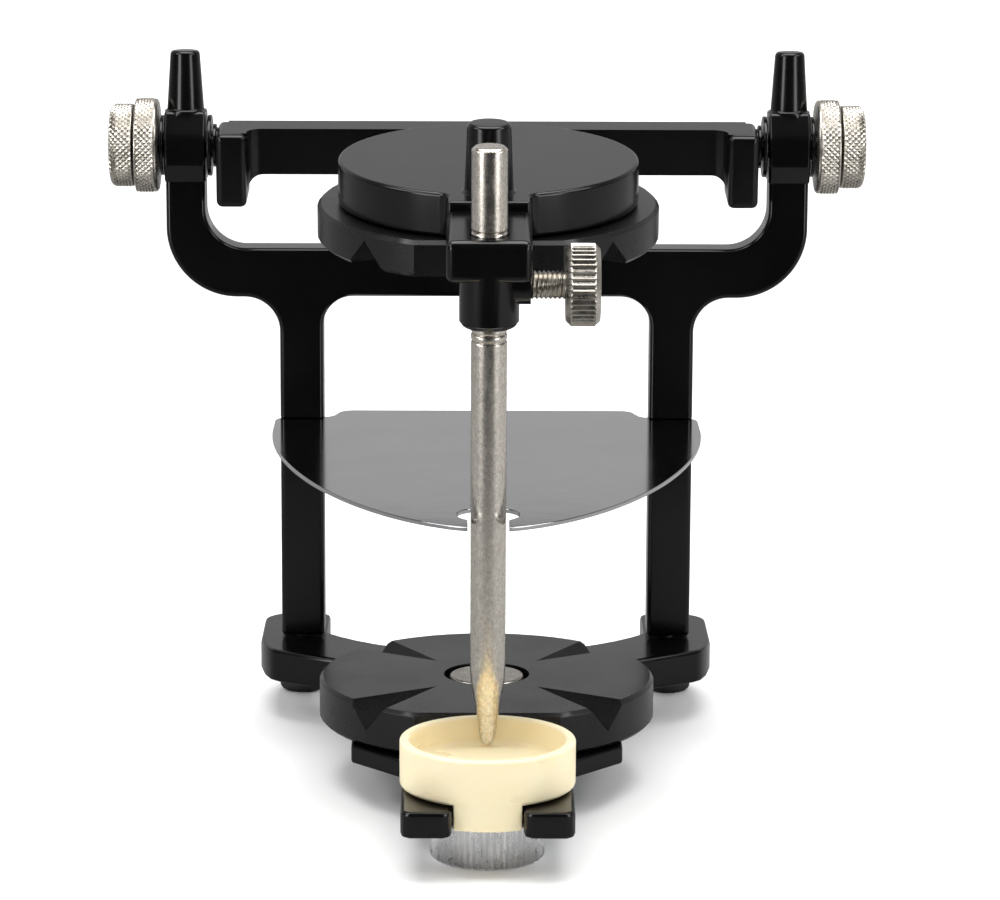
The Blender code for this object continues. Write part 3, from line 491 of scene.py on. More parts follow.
def ring_piece(node, axis, edge):
    """A plain collar with rounded outer edges and a fine turned step on each face."""
    centre, size = middle(node)
    radius = size.z / 2
    half = size.x / 2
    edge = min(edge, 0.6 * half)
    step_width, step_depth = 0.4 * MM, 0.05 * MM
    profile = [(THREAD_HOLE, half - step_depth), (THREAD_HOLE + step_width, half)]
    profile += corner(radius - edge, half - edge, edge, 90, 0)
    profile += corner(radius - edge, edge - half, edge, 0, -90)
    profile += [(THREAD_HOLE + step_width, -half), (THREAD_HOLE, step_depth - half)]
    turned_piece("_ring", node, profile, 64, axis, Matrix.Translation(centre))


def make_condyles():
    """The knob, lock ring, screw and two collars on each side of the hinge."""
    pitch, thread_depth = 0.8 * MM, 0.4 * MM
    for side, axis in AXIS_OF.items():
        knurled_wheel("condyle_knob_" + side, axis, closed=True, around=47)
        knurled_wheel("lock_ring_" + side, axis, closed=False, around=52)
        threaded("condyle_screw_" + side, axis, pitch, thread_depth)
        ring_piece("outer_collar_" + side, axis, edge=0.25 * MM)
        ring_piece("inner_collar_" + side, axis, edge=0.35 * MM)


def make_pin():
    """The ground pin: rounded top edge, three reading grooves and a bullet-shaped point."""
    low, high = local_box("incisal_pin", UPPER)
    radius = (high.x - low.x) / 2
    groove_depth = 0.28 * MM
    groove_heights = (9.5 * MM, -9.0 * MM, -10.4 * MM)
    groove_half = 0.28 * MM
    edge, bottom = 1.6 * groove_half, 0.3 * groove_half
    rim = 0.55 * MM
    soft_run, soft_fall = 0.1 * MM, 0.04 * MM
    halfway, taper_length = -40 * MM, 15.5 * MM
    profile = [(0.0, high.z), (radius - rim - soft_run, high.z), (radius - rim, high.z - soft_fall),
               (radius - soft_run, high.z - rim + 2 * soft_fall), (radius, high.z - rim - soft_run)]
    for height in groove_heights:
        profile += [(radius, height + edge), (radius - soft_fall, height + groove_half),
                    (radius - groove_depth, height + bottom),
                    (radius - groove_depth, height - bottom),
                    (radius - soft_fall, height - groove_half), (radius, height - edge)]
    profile += [(radius, halfway), (radius, low.z + taper_length)]
    profile += bullet_point(radius, low.z)
    turned_piece("_ground", "incisal_pin", profile, 96, "+Z",
                 UPPER @ Matrix.Translation((0.0, (low.y + high.y) / 2, 0.0)), angle=50.0)


def bullet_point(radius, tip_z):
    """The pin's point: a shoulder, a long taper and a small round end."""
    taper = ((0.975, 13.2), (0.94, 12.2), (0.85, 10.5), (0.75, 8.8), (0.67, 7.1), (0.59, 5.5),
             (0.53, 3.8), (0.47, 2.2), (0.425, 1.3), (0.36, 0.75), (0.24, 0.28), (0.12, 0.06))
    return [(radius * share, tip_z + height * MM) for share, height in taper] + [(0.0, tip_z)]


def make_magnets():
    """Round nickel-plated magnets with a rounded rim."""
    rim = 0.5 * MM
    for node, place, axis in (("lower_magnet", Matrix.Identity(4), "+Z"), ("upper_magnet", UPPER, "-Z")):
        low, high = local_box(node, place)
        centre = (low + high) / 2
        radius = (high.x - low.x) / 2
        half = (high.z - low.z) / 2
        profile = [(0.0, half)] + corner(radius - rim, half - rim, rim, 90, 0)
        profile += corner(radius - rim, rim - half, rim, 0, -90) + [(0.0, -half)]
        turned_piece("_plated", node, profile, 96, axis, place @ Matrix.Translation(centre))


def make_nut():
    """The thumb nut: straight flutes between two rounded edges, and a shallow recess underneath."""
    flutes = 60
    columns = flutes * 6
    flute_depth = 0.45 * MM
    rounding = 0.8 * MM
    centre, size = middle("table_lock_nut")
    radius = size.x / 2
    half = size.z / 2
    thread_hole = 2.7 * MM
    bottom_wall = 2.2 * MM
    edge = 0.4 * MM
    recess_rim, recess_depth = 0.3 * MM, 0.12 * MM
    profile = [(0.0, bottom_wall - half), (thread_hole, bottom_wall - half), (thread_hole, half),
               (radius - 2 * edge, half)]
    first = len(profile)
    profile += corner(radius - edge, half - edge, edge, 90, 0, 3)
    profile += [(radius, 0.0)]
    profile += corner(radius - rounding, rounding - half, rounding, 0, -90, 8)
    last = len(profile) - 2
    profile += [(radius - rounding - recess_rim, recess_depth - half), (0.0, recess_depth - half)]

    def relief(turn, row):
        if not first <= row <= last:
            return 0.0
        wave = 0.5 - 0.5 * math.cos(2 * math.pi * turn * flutes)
        share = 0.35 if row in (first, last) else 1.0
        return flute_depth * share * wave ** 0.8

    place = Matrix.Translation(centre)
    turned_piece("_fluted", "table_lock_nut", profile, columns, "+Z", place, relief, 45.0)


def make_feet():
    """The two push-in bumpers: a chamfered plug on a foot with a rounded sole."""
    foot_height = 7.8 * MM
    plug = 1.9 * MM
    chamfer_width, chamfer_height = 0.3 * MM, 0.4 * MM
    shoulder_edge, sole_edge = 0.5 * MM, 1.2 * MM
    for side, _ in SIDES:
        centre, size = middle("rear_foot_" + side)
        radius = size.x / 2
        top = size.z / 2
        shoulder = foot_height - top
        profile = [(0.0, top), (plug - chamfer_width, top), (plug, top - chamfer_height), (plug, shoulder)]
        profile += corner(radius - shoulder_edge, shoulder - shoulder_edge, shoulder_edge, 90, 0)
        profile += corner(radius - sole_edge, sole_edge - top, sole_edge, 0, -90)
        profile += [(0.0, -top)]
        turned_piece("_moulded", "rear_foot_" + side, profile, 48, "+Z", Matrix.Translation(centre))


# ---------------------------------------------------------------- outlines

def arc(centre_x, centre_y, radius, start, end, steps):
    points = []
    for step in range(steps + 1):
        angle = math.radians(start + (end - start) * step / steps)
        points.append((centre_x + radius * math.cos(angle), centre_y + radius * math.sin(angle)))
    return points


def rectangle(low_x, low_y, high_x, high_y):
    return [(low_x, low_y), (high_x, low_y), (high_x, high_y), (low_x, high_y)]


def mirrored(right_half):
    """Close an outline from its right half, which runs from the mirror line round to it."""
    left_half = [(-x, y) for x, y in reversed(right_half) if abs(x) > ON_AXIS]
    return right_half + left_half


PLANES = {
    "XY": Matrix.Identity(4),
    "XZ": Matrix(((1, 0, 0, 0), (0, 0, 1, 0), (0, 1, 0, 0), (0, 0, 0, 1))),
    "YZ": Matrix(((0, 0, 1, 0), (1, 0, 0, 0), (0, 1, 0, 0), (0, 0, 0, 1))),
}


def slab(outline, low, high, plane="XY"):
    """A closed mesh from a flat outline, with its thickness across the outline's plane."""
    shape = bmesh.new()
    floor = [shape.verts.new((x, y, low)) for x, y in outline]
    bottom = shape.faces.new(floor)
    raised = bmesh.ops.extrude_face_region(shape, geom=[bottom])
    lifted = [item for item in raised["geom"] if isinstance(item, bmesh.types.BMVert)]
    bmesh.ops.translate(shape, vec=(0.0, 0.0, high - low), verts=lifted)
    bmesh.ops.transform(shape, matrix=PLANES[plane], verts=shape.verts)
    bmesh.ops.recalc_face_normals(shape, faces=shape.faces)
    mesh = bpy.data.meshes.new("slab")
    shape.to_mesh(mesh)
    shape.free()
    return mesh


def round_edges(part, width, segments, angle=28.0):
    rounding = part.modifiers.new("rounded_edges", "BEVEL")
    rounding.width = width
    rounding.segments = segments
    rounding.limit_method = "ANGLE"
    rounding.angle_limit = math.radians(angle)
    return part


def helper(name, mesh):
    """A shape that only cuts or joins others and is removed afterwards."""
    shape = bpy.data.objects.new(name, mesh)
    bpy.context.scene.collection.objects.link(shape)
    return shape


def rounded_slab(name, outline, low, high, plane, width, segments=4):
    """A helper slab with its edges already rounded over."""
    return bake(round_edges(helper(name, slab(outline, low, high, plane)), width, segments))


def rod(name, radius, low, high, axis="+Z", columns=32):
    return helper(name, lathe([(0.0, high), (radius, high), (radius, low), (0.0, low)], columns, axis))


def move(shape, x=0.0, y=0.0, z=0.0):
    shape.data.transform(Matrix.Translation((x, y, z)))
    return shape


def bake(part):
    """Replace a shape's mesh by its evaluated one."""
    bpy.context.view_layer.update()
    graph = bpy.context.evaluated_depsgraph_get()
    mesh = bpy.data.meshes.new_from_object(part.evaluated_get(graph))
    part.modifiers.clear()
    part.data = mesh
    return part


def combine(part, operation, *others):
    """Join or cut at once, one shape after the other, and leave a plain mesh."""
    for other in others:
        step = part.modifiers.new(operation.lower(), "BOOLEAN")
        step.operation = operation
        step.object = other
        step.solver = "EXACT"
        bake(part)
        bpy.data.objects.remove(other, do_unlink=True)
    return part


def occlusal_outline(low, high):
    """The arch of the plate: a superellipse, an open pin slot in front and a tab behind."""
    fullness = 1.73
    wing_y = 36.0 * MM
    shoulder_y = 50.2 * MM
    shoulder_radius = 4.0 * MM
    tab_x = 31.0 * MM
    tab_radius = 3.0 * MM
    tab_lean = 1.0 * MM
    nick = 1.0 * MM
    hole_y = low.y + 11.4 * MM
    hole_radius = 5.7 * MM
    slot_half = 3.7 * MM
    depth = wing_y - low.y
    power = 2 / fullness
    slot_turn = math.acos((slot_half / high.x) ** (1 / power))
    hole_angle = math.degrees(math.asin(slot_half / hole_radius))
    steps = 72
    right = arc(0.0, hole_y, hole_radius, 90, -90 + hole_angle, 32)
    for step in range(steps, -1, -1):
        turn = slot_turn * step / steps
        right.append((high.x * math.cos(turn) ** power, wing_y - depth * math.sin(turn) ** power))
    right += arc(high.x - shoulder_radius, shoulder_y - shoulder_radius, shoulder_radius, 0, 90, 8)
    right += [(tab_x + nick, shoulder_y), (tab_x, shoulder_y + nick)]
    right += arc(tab_x - tab_lean - tab_radius, high.y - tab_radius, tab_radius, 0, 90, 6)
    right += [(0.0, high.y)]
    left = [(-x, y) for x, y in reversed(right[1:-1])]
    return right + left


def make_occlusal_plate():
    """Polished sheet steel with softly broken edges."""
    edge = 0.16 * MM
    low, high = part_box("occlusal_plate")
    mesh = slab(occlusal_outline(low, high), low.z, high.z)
    plate = as_piece("occlusal_plate_polished", mesh, "occlusal_plate")
    smooth(round_edges(plate, edge, 3, angle=50.0), 45.0)


def make_cup():
    """The dished cup with its flat-sided boss, which fits between the prongs of the fork."""
    low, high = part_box("incisal_table_cup")
    centre = (low + high) / 2
    radius = (high.x - low.x) / 2
    wall = 1.8 * MM
    hollow = radius - wall
    floor_z = high.z - 5.1 * MM
    straight_depth = 2.0 * MM
    seat_z = 13.3 * MM
    rounding = 0.8 * MM
    foot = 1.0 * MM
    draft = 0.2 * MM
    rim = 0.55 * MM
    boss_front, boss_back = radius - 0.05 * MM, 10.0 * MM
    boss_bottom, boss_top = low.z, seat_z + 1.5 * MM
    boss_half = 6.05 * MM
    boss_edge = 0.25 * MM
    stud_hole, stud_hole_top = 2.7 * MM, 15.0 * MM
    profile = [(0.0, floor_z), (0.5 * hollow, floor_z), (hollow - foot - 2 * draft, floor_z)]
    profile += [(hollow - foot - draft + foot * math.sin(turn), floor_z + foot * (1 - math.cos(turn)))
                for turn in (0.4, 0.8, 1.2, 1.5)]
    profile += [(hollow - draft / 2, high.z - straight_depth)]
    profile += corner(hollow + rim, high.z - rim, rim, 180, 90)
    profile += corner(radius - rim, high.z - rim, rim, 90, 0)
    profile += [(radius, seat_z + rounding + MM)]
    profile += corner(radius - rounding, seat_z + rounding, rounding, 0, -90, 8)
    profile += [(0.0, seat_z)]
    mesh = lathe(profile, 128)
    mesh.transform(Matrix.Translation((centre.x, centre.y, 0.0)))
    cup = as_piece("incisal_table_cup_moulded", mesh, "incisal_table_cup")
    outline = []
    for boss_radius, turned_by in ((boss_back, 0), (boss_front, 180)):
        flat = math.degrees(math.acos(boss_half / boss_radius))
        outline += arc(0.0, centre.y, boss_radius, turned_by + flat, turned_by + 180 - flat, 24)
    boss = rounded_slab("cup_boss", outline, boss_bottom, boss_top, "XY", boss_edge, 2)
    hole = move(rod("stud_hole", stud_hole, boss_bottom - MM, stud_hole_top), centre.x, centre.y)
    combine(cup, "UNION", boss)
    combine(cup, "DIFFERENCE", hole)
    smooth(cup, 32.0)


# ---------------------------------------------------------------- castings

POST_INNER_X = 32.8 * MM
POST_OUTER_X = 41.5 * MM
ARM_INNER_X = 56.2 * MM
ARM_OUTER_X = 64.0 * MM
CROSSBAR_BOTTOM = 84.9 * MM
CROSSBAR_TOP = 94.8 * MM
BAR_TOP = 4.25 * MM
BAR_BOTTOM = -5.05 * MM
LUG_INNER_X = 47.7 * MM
LUG_FILLET = 3.0 * MM


def frame_outline(foot_z):
    """Posts, crossbar and the two upturned arms, seen from the front."""
    arm_top = 118.0 * MM
    inner_fillet, outer_fillet = 6.0 * MM, 7.0 * MM
    inner_bend, outer_bend = 8.0 * MM, 14.0 * MM
    inner_bottom = CROSSBAR_BOTTOM + 0.2 * MM
    right = arc(POST_INNER_X - inner_fillet, inner_bottom - inner_fillet, inner_fillet, 90, 0, 16)
    right += [(POST_INNER_X, foot_z), (POST_OUTER_X, foot_z)]
    right += arc(POST_OUTER_X + outer_fillet, CROSSBAR_BOTTOM - outer_fillet, outer_fillet, 180, 90, 16)
    right += arc(ARM_OUTER_X - outer_bend, CROSSBAR_BOTTOM + outer_bend, outer_bend, -90, 0, 28)
    right += [(ARM_OUTER_X, arm_top), (ARM_INNER_X, arm_top)]
    right += arc(ARM_INNER_X - inner_bend, CROSSBAR_TOP + inner_bend, inner_bend, 0, -90, 20)
    return mirrored(right)


def boss_outline(front_y, back_y, bottom, top):
    """The eight-sided boss at each arm's end, seen from the side."""
    upper_drop, upper_inset = 4.7 * MM, 2.6 * MM
    lower_rise, lower_inset = 3.4 * MM, 2.1 * MM
    return [(front_y + lower_inset, bottom), (back_y - lower_inset, bottom), (back_y, bottom + lower_rise),
            (back_y, top - upper_drop), (back_y - upper_inset, top), (front_y + upper_inset, top),
            (front_y, top - upper_drop), (front_y, bottom + lower_rise)]


def peg(name, top, bottom, top_radius, base_radius, flare):
    """A tapered peg with a rounded top edge, which swells into its boss in a small fillet."""
    rounding = 0.8 * MM
    taper_angle = 4
    flare_steps = 5
    root_depth = 1.5 * MM
    profile = [(0.0, top)]
    profile += corner(top_radius - rounding, top - rounding, rounding, 90, taper_angle, 5)
    for step in range(flare_steps + 1):
        turn = math.radians(90 * step / flare_steps)
        profile.append((base_radius + flare * (1 - math.cos(turn)), bottom + flare * (1 - math.sin(turn))))
    profile += [(base_radius + flare, bottom - root_depth), (0.0, bottom - root_depth)]
    return helper(name, lathe(profile, 64))


def make_upright_frame():
    """The casting with the two posts: one bent plate with a boss and a peg at each end."""
    low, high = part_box("upright_frame")
    pivot = Vector(JOINTS["upper_member_hinge"]["pos_m"])
    front_y, back_y = 48.0 * MM, 56.3 * MM
    frame_edge, boss_edge = 0.9 * MM, 0.6 * MM
    boss_bottom, boss_top = 107.9 * MM, 122.1 * MM
    boss_inner, boss_outer = 56.0 * MM, high.x
    bore_inner, bore_outer = 50 * MM, 70 * MM
    post_x = (POST_INNER_X + POST_OUTER_X) / 2
    post_hole, post_hole_depth = 2.2 * MM, 9.5 * MM
    peg_x = 60.1 * MM
    kerf_depth, kerf_gap = 2.5 * MM, 0.25 * MM
    kerf_half, kerf_reach = 8 * MM, 5 * MM
    plate_low, plate_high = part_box("occlusal_plate")
    casting = rounded_slab("frame", frame_outline(low.z), front_y, back_y, "XZ", frame_edge)
    for side, x in SIDES:
        ends = sorted((x * boss_inner, x * boss_outer))
        outline = boss_outline(low.y, high.y, boss_bottom, boss_top)
        boss = rounded_slab("boss", outline, ends[0], ends[1], "YZ", boss_edge)
        foot = peg("peg", high.z, boss_top, top_radius=2.95 * MM, base_radius=3.65 * MM, flare=0.5 * MM)
        move(foot, x * peg_x, pivot.y)
        bore = rod("bore", THREAD_HOLE, bore_inner, bore_outer, AXIS_OF[side])
        move(bore, 0, pivot.y, pivot.z)
        hole = rod("hole", post_hole, low.z - MM, low.z + post_hole_depth)
        move(hole, x * post_x, (front_y + back_y) / 2)
        outline = rectangle(x * post_x - kerf_half, front_y - kerf_reach,
                            x * post_x + kerf_half, front_y + kerf_depth)
        kerf = helper("kerf", slab(outline, plate_low.z - kerf_gap, plate_high.z + kerf_gap))
        combine(casting, "UNION", boss, foot)
        combine(casting, "DIFFERENCE", bore, hole, kerf)
    finish_casting(casting, "upright_frame", Matrix.Identity(4))


def finish_casting(shape, node, place):
    """Turn the joined helper into the piece that stands for its node."""
    mesh = shape.data
    mesh.transform(place)
    bpy.data.objects.remove(shape, do_unlink=True)
    smooth(as_piece(node + "_cast", mesh, node), CAST_SMOOTH_ANGLE)


def bar_front_outline(outer_x, bottom):
    """The bar and the roots of its two lugs, seen from the front."""
    right = [(0.0, BAR_BOTTOM)]
    right += arc(LUG_INNER_X - LUG_FILLET, BAR_BOTTOM - LUG_FILLET, LUG_FILLET, 90, 0, 12)
    right += [(LUG_INNER_X, bottom), (outer_x, bottom), (outer_x, BAR_TOP), (0.0, BAR_TOP)]
    return mirrored(right)


def bar_plan_outline(outer_x, front_y):
    """The bar and the roots of its lugs, seen from above, a little wider than the front outline."""
    bar_front, bar_back = -3.6 * MM, 3.5 * MM
    right = [(0.0, bar_front)]
    right += arc(LUG_INNER_X - LUG_FILLET, bar_front - LUG_FILLET, LUG_FILLET, 90, 0, 12)
    right += [(LUG_INNER_X, front_y), (outer_x + MM, front_y), (outer_x + MM, bar_back), (0.0, bar_back)]
    return mirrored(right)


def disc_outline(centre_y, tongue_end_y):
    """The disc with the tongue that grows out of its front through two hollow fillets."""
    radius = 28.1 * MM
    half_width, fillet = 7.5 * MM, 2.8 * MM
    fillet_y = -math.sqrt((radius + fillet) ** 2 - (half_width + fillet) ** 2)
    touch = math.degrees(math.atan2(fillet_y, half_width + fillet))
    right = [(0.0, tongue_end_y - centre_y), (half_width, tongue_end_y - centre_y)]
    right += arc(half_width + fillet, fillet_y, fillet, 180, 180 + touch, 12)
    right += arc(0.0, 0.0, radius, touch, 90, 60)[1:]
    return [(x, y + centre_y) for x, y in mirrored(right)]


def neck_outline(disc_bottom):
    """The neck that rises from the bar to the disc, seen from the side."""
    bar_low, bar_high = -4.0 * MM, 3.6 * MM
    ramp_foot, ramp_head = -10.0 * MM, -22.0 * MM
    disc_high = 9.0 * MM
    disc_end = -32.0 * MM
    underside_start, underside_end = -19.0 * MM, -11.0 * MM
    return [(0.0, bar_low), (0.0, bar_high), (ramp_foot, bar_high), (ramp_head, disc_high),
            (disc_end, disc_high), (disc_end, disc_bottom + MM), (underside_start, disc_bottom + MM),
            (underside_end, bar_low)]


def make_bar(low, high):
    """The bar at the back of the upper casting, with its two rounded lugs."""
    lug_front, lug_back = -9.5 * MM, 3.5 * MM
    lug_top = BAR_TOP - 0.02 * MM
    lug_edge = 1.2 * MM
    root = 2.0 * MM
    front_y, back_y = -12 * MM, 8 * MM
    bar = helper("bar", slab(bar_front_outline(high.x - root, low.z + root), front_y, back_y, "XZ"))
    plan = slab(bar_plan_outline(high.x - root, lug_front + root), low.z - MM, BAR_TOP + MM)
    combine(bar, "INTERSECT", helper("plan", plan))
    for _, x in SIDES:
        ends = sorted((x * LUG_INNER_X, x * high.x))
        outline = rectangle(ends[0], lug_front, ends[1], lug_back)
        combine(bar, "UNION", rounded_slab("lug", outline, low.z, lug_top, "XY", lug_edge))
    return bar


def make_pin_sleeve(pin_y):
    """The round sleeve under the block, with a rounded lower edge."""
    radius = 5.3 * MM
    top, bottom = 5 * MM, -7.8 * MM
    rounding, inset = 1.0 * MM, 1.2 * MM
    profile = [(0.0, top), (radius, top), (radius, bottom + rounding)]
    profile += corner(radius - inset, bottom + rounding, rounding, -15, -90)
    profile += [(0.0, bottom)]
    return move(helper("sleeve", lathe(profile, 64)), 0, pin_y)


def make_upper_casting():
    """Bar, lugs, neck, disc, tongue, block, pin sleeve and front peg, joined with rounded edges."""
    low, high = local_box("upper_frame", UPPER)
    pin_low, pin_high = local_box("incisal_pin", UPPER)
    stud_low, stud_high = local_box("pin_lock_stud", UPPER)
    plate_top = local_box("upper_split_cast_plate", UPPER)[1].z
    pin_y = (pin_low.y + pin_high.y) / 2
    lock_z = (stud_low.z + stud_high.z) / 2
    plate_y, peg_y = -52.0 * MM, -77.2 * MM
    disc_top, disc_bottom = 10.4 * MM, plate_top + 0.3 * MM
    block_half, block_back = 7.6 * MM, -84.0 * MM
    block_bottom, block_top = 1.1 * MM, 8.8 * MM
    neck_half = 16 * MM
    neck_edge, disc_edge, block_edge = 1.0 * MM, 0.7 * MM, 1.5 * MM
    side_boss_radius, side_boss_end = 3.45 * MM, 7.3 * MM
    pin_bore_radius, pin_bore_reach = 3.5 * MM, 20 * MM
    plate_hole_radius, plate_hole_top = 2.2 * MM, plate_top + 3.6 * MM
    bush_bore_radius, bush_bore_inner, bush_bore_outer = 3.9 * MM, 46 * MM, 60 * MM
    casting = make_bar(low, high)
    neck = rounded_slab("neck", neck_outline(disc_bottom), -neck_half, neck_half, "YZ", neck_edge)
    outline = disc_outline(plate_y, block_back - MM)
    disc = rounded_slab("disc", outline, disc_bottom, disc_top, "XY", disc_edge)
    outline = rectangle(-block_half, low.y, block_half, block_back)
    block = rounded_slab("block", outline, block_bottom, block_top, "XY", block_edge)
    sleeve = make_pin_sleeve(pin_y)
    side_boss = move(rod("side_boss", side_boss_radius, 0, side_boss_end, "+X", 48), 0, pin_y, lock_z)
    front_peg = peg("front_peg", 12.7 * MM, 0.0, top_radius=4.0 * MM, base_radius=4.45 * MM, flare=0.8 * MM)
    move(front_peg, 0, peg_y, disc_top)
    combine(casting, "UNION", neck, disc, block, sleeve, side_boss, front_peg)
    pin_bore = move(rod("pin_bore", pin_bore_radius, -pin_bore_reach, pin_bore_reach, columns=64), 0, pin_y)
    lock_bore = move(rod("lock_bore", THREAD_HOLE, 0, pin_bore_reach, "+X"), 0, pin_y, lock_z)
    plate_hole = move(rod("plate_hole", plate_hole_radius, 0, plate_hole_top), 0, plate_y)
    combine(casting, "DIFFERENCE", pin_bore, lock_bore, plate_hole)
    for axis in AXIS_OF.values():
        bush_bore = rod("bush_bore", bush_bore_radius, bush_bore_inner, bush_bore_outer, axis, 48)
        combine(casting, "DIFFERENCE", bush_bore)
    finish_casting(casting, "upper_frame", UPPER)


# ---------------------------------------------------------------- camera, floor and light

def make_camera():
    """The viewing angle: a long lens, a little above the object and square to its front."""
    camera_data = bpy.data.cameras.new("view")
    camera = bpy.data.objects.new("view", camera_data)
    bpy.context.scene.collection.objects.link(camera)
    camera_data.sensor_width = 36.0
    camera_data.lens = 144.0
    camera_data.clip_start = 0.05
    camera_data.clip_end = 20.0
    target = Vector((0.0, 0.052, 0.053))
    pitch = math.radians(11.7)
    yaw = math.radians(0.25)
    roll = Matrix.Rotation(math.radians(0.2), 4, "Z")
    distance = 811.4 * MM
    forward = Vector((math.sin(yaw) * math.cos(pitch), math.cos(yaw) * math.cos(pitch), -math.sin(pitch)))
    camera.location = target - forward * distance
    look = forward.to_track_quat("-Z", "Y").to_matrix().to_4x4()
    camera.matrix_world = Matrix.Translation(camera.location) @ look @ roll
    camera_data.shift_x = 0.0138
    bpy.context.scene.camera = camera


def make_floor():
    """A wide pale sheet, flat under the object and far round it."""
    bpy.ops.mesh.primitive_grid_add(x_subdivisions=8, y_subdivisions=8, size=16.0)
    floor = bpy.context.active_object
    floor.name = "floor"
    material, tree, shader = new_material("pale_paper")
    tone = noise(tree, object_point(tree), scale=30.0, detail=3.0)
    pale, paler = (0.90, 0.90, 0.90, 1.0), (0.92, 0.92, 0.92, 1.0)
    shade = blend_colours(tree, spread(tree, tone, 0.0, 1.0), pale, paler)
    tree.links.new(shade, shader.inputs["Base Color"])
    shader.inputs["Roughness"].default_value = 0.9
    shader.inputs["Specular IOR Level"].default_value = 0.1
    floor.data.materials.append(material)


def make_painted_reflection_sheet():
    """Painted reflection for shiny parts: a sheet painted grey, lighter on the right, that ends in
    painted darkness in front, in place of the lit studio floor and the shade beyond it.

    Only reflections see it, so the floor itself stays plain and pale.
    """
    near_y, dark_y, far_y = -0.12, -0.26, -1.5
    near_x, far_x = 0.10, 0.95
    soft_edge = 0.06
    # painted reflection colours: grey for the lit floor, lighter on the right where the light is brighter, and
    # near-black painted shade in front
    painted_left_grey, painted_right_grey = (0.22, 0.22, 0.22, 1.0), (0.32, 0.32, 0.32, 1.0)
    painted_front_darkness = (0.01, 0.01, 0.01, 1.0)
    above_floor = (0, 0, 0.4 * MM)
    bpy.ops.mesh.primitive_grid_add(x_subdivisions=4, y_subdivisions=4, size=6.0, location=above_floor)
    sheet = bpy.context.active_object
    sheet.name = "painted_reflection_sheet"
    material, tree, shader = new_material("painted_reflection_grey")
    place = add_node(tree, "ShaderNodeTexCoord")
    split = add_node(tree, "ShaderNodeSeparateXYZ")
    tree.links.new(place.outputs["Object"], split.inputs["Vector"])
    aside = add_node(tree, "ShaderNodeMath", operation="ABSOLUTE")
    tree.links.new(split.outputs["X"], aside.inputs[0])
    half_width = spread(tree, split.outputs["Y"], far_x, near_x, from_low=far_y, from_high=near_y)
    margin = add_node(tree, "ShaderNodeMath", operation="SUBTRACT")
    tree.links.new(half_width, margin.inputs[0])
    tree.links.new(aside.outputs["Value"], margin.inputs[1])
    inside = spread(tree, margin.outputs["Value"], 0.0, 1.0, from_low=0.0, from_high=soft_edge)
    # painted shade: the sheet turns near-black in front of the object
    painted_shade_ahead = spread(tree, split.outputs["Y"], 1.0, 0.0, from_low=dark_y, from_high=near_y)
    dark = add_node(tree, "ShaderNodeMath", operation="MULTIPLY")
    tree.links.new(inside, dark.inputs[0])
    tree.links.new(painted_shade_ahead, dark.inputs[1])
    # painted light: the grey grows lighter towards the right
    painted_light_to_right = spread(tree, split.outputs["X"], 0.0, 1.0, from_low=-near_x, from_high=2 * near_x)
    pale = blend_colours(tree, painted_light_to_right, painted_left_grey, painted_right_grey)
    shade = blend_colours(tree, dark.outputs["Value"], pale, painted_front_darkness)
    tree.links.new(shade, shader.inputs["Base Color"])
    shader.inputs["Roughness"].default_value = 1.0
    sheet.data.materials.append(material)
    sheet.visible_camera = False
    sheet.visible_diffuse = False
    sheet.visible_shadow = False
    sheet.visible_transmission = False


def area_light(name, place, target, width, depth, power, glossy=True, diffuse=True):
    light_data = bpy.data.lights.new(name, "AREA")
    light_data.shape = "RECTANGLE"
    light_data.size = width
    light_data.size_y = depth
    light_data.energy = power
    light = bpy.data.objects.new(name, light_data)
    bpy.context.scene.collection.objects.link(light)
    light.location = place
    light.rotation_euler = (Vector(target) - Vector(place)).to_track_quat("-Z", "Y").to_euler()
    light.visible_camera = False
    light.visible_glossy = glossy
    light.visible_diffuse = diffuse


def make_lights():
    """A panel over the object, two upright strips, two panels over its sides, a front fill and a
    panel over the floor behind."""
    area_light("overhead", (0.0, 0.0, 0.60), target=(0.0, -0.01, 0.0), width=0.55, depth=0.40, power=4.2)
    for name, x, power in (("left_strip", -1, 1.1), ("right_strip", 1, 0.9)):
        area_light(name, (0.37 * x, -0.34, 0.12), target=(0.0, 0.0, 0.12),
                   width=0.15, depth=0.34, power=power, diffuse=False)
    for name, x in (("left_panel", -1), ("right_panel", 1)):
        area_light(name, (0.62 * x, -0.22, 0.50), target=(0.55 * x, -0.20, 0.0),
                   width=0.35, depth=0.45, power=2.4)
    area_light("front_fill", (0.0, -0.70, 0.85), target=(0.0, -0.05, 0.02),
               width=0.7, depth=0.5, power=2.3, glossy=False)
    area_light("background_panel", (0.0, 2.2, 1.0), target=(0.0, 2.2, 0.0),
               width=5.0, depth=3.4, power=110.0, glossy=False)


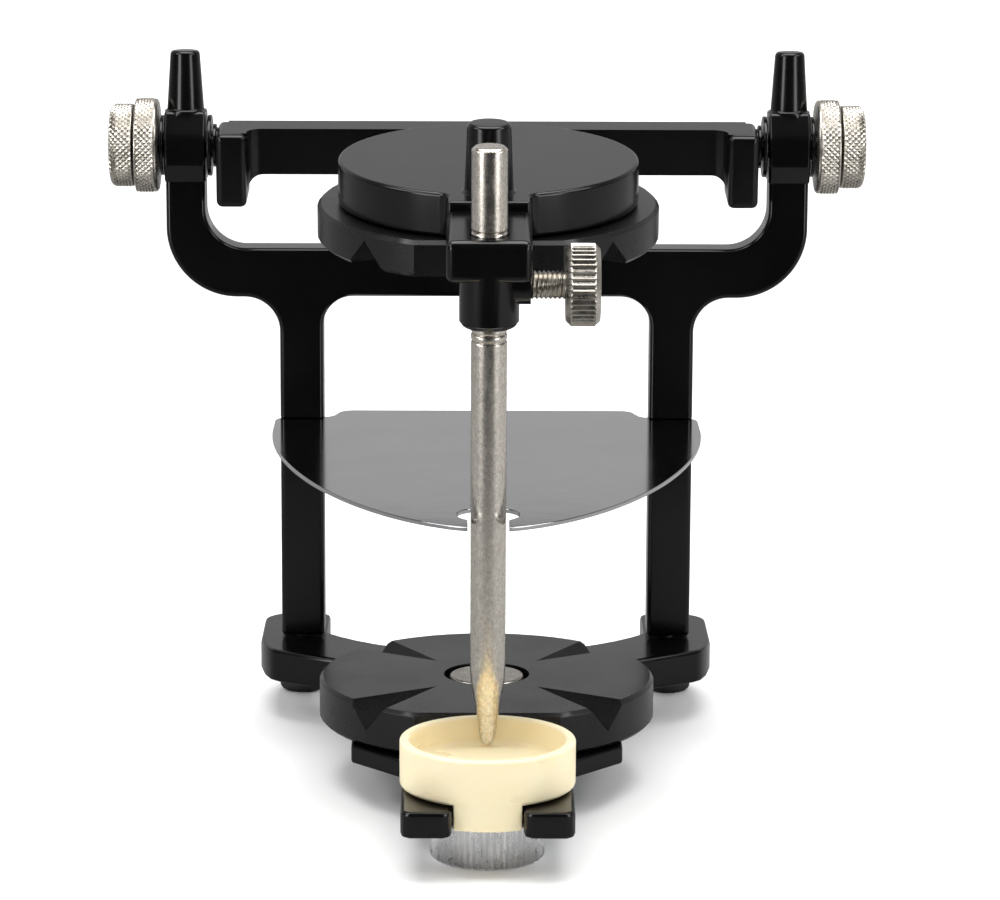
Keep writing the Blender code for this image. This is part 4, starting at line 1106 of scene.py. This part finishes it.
def make_world():
    """A pale room behind the object that fades to a darker one in front of it."""
    world = bpy.data.worlds.new("studio")
    bpy.context.scene.world = world
    world.use_nodes = True
    tree = world.node_tree
    place = add_node(tree, "ShaderNodeTexCoord")
    split = add_node(tree, "ShaderNodeSeparateXYZ")
    tree.links.new(place.outputs["Generated"], split.inputs["Vector"])
    behind = spread(tree, split.outputs["Y"], 0.0, 1.0, from_low=-0.2, from_high=0.7)
    low = spread(tree, split.outputs["Z"], 1.0, 0.12, from_low=0.45, from_high=0.85)
    both = add_node(tree, "ShaderNodeMath", operation="MULTIPLY")
    tree.links.new(behind, both.inputs[0])
    tree.links.new(low, both.inputs[1])
    strength = spread(tree, both.outputs["Value"], 0.05, 0.50, from_low=0.0, from_high=1.0)
    background = tree.nodes["Background"]
    background.inputs["Color"].default_value = (1.0, 1.0, 1.0, 1.0)
    tree.links.new(strength, background.inputs["Strength"])


# ---------------------------------------------------------------- assembly

def make_castings():
    make_upright_frame()
    make_upper_casting()
    refined("base_plate", "_cast", 0.5 * MM)
    for node in ("lower_split_cast_plate", "upper_split_cast_plate"):
        refined(node, "_cast", 0.25 * MM)


def make_small_parts():
    """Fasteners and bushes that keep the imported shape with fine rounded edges."""
    screw_edge, fine_edge = 0.15 * MM, 0.12 * MM
    for side, _ in SIDES:
        refined("frame_screw_" + side, "_turned", screw_edge, 2)
        refined("axle_bush_" + side, "_turned", fine_edge, 2)
    for node in ("lower_plate_screw", "upper_plate_screw", "pin_pressure_pad"):
        refined(node, "_turned", fine_edge, 2)


def main():
    bpy.context.scene.view_settings.view_transform = "Standard"
    make_camera()
    make_floor()
    make_painted_reflection_sheet()
    make_lights()
    make_world()
    make_castings()
    make_small_parts()
    make_condyles()
    make_pin()
    make_magnets()
    threaded("pin_lock_stud", "+X", pitch=0.8 * MM, depth=0.42 * MM)
    ridged_wheel("pin_lock_knob", "+X")
    make_cup()
    make_nut()
    threaded("table_stud", "+Z", pitch=0.8 * MM, depth=0.4 * MM)
    make_feet()
    make_occlusal_plate()


main()
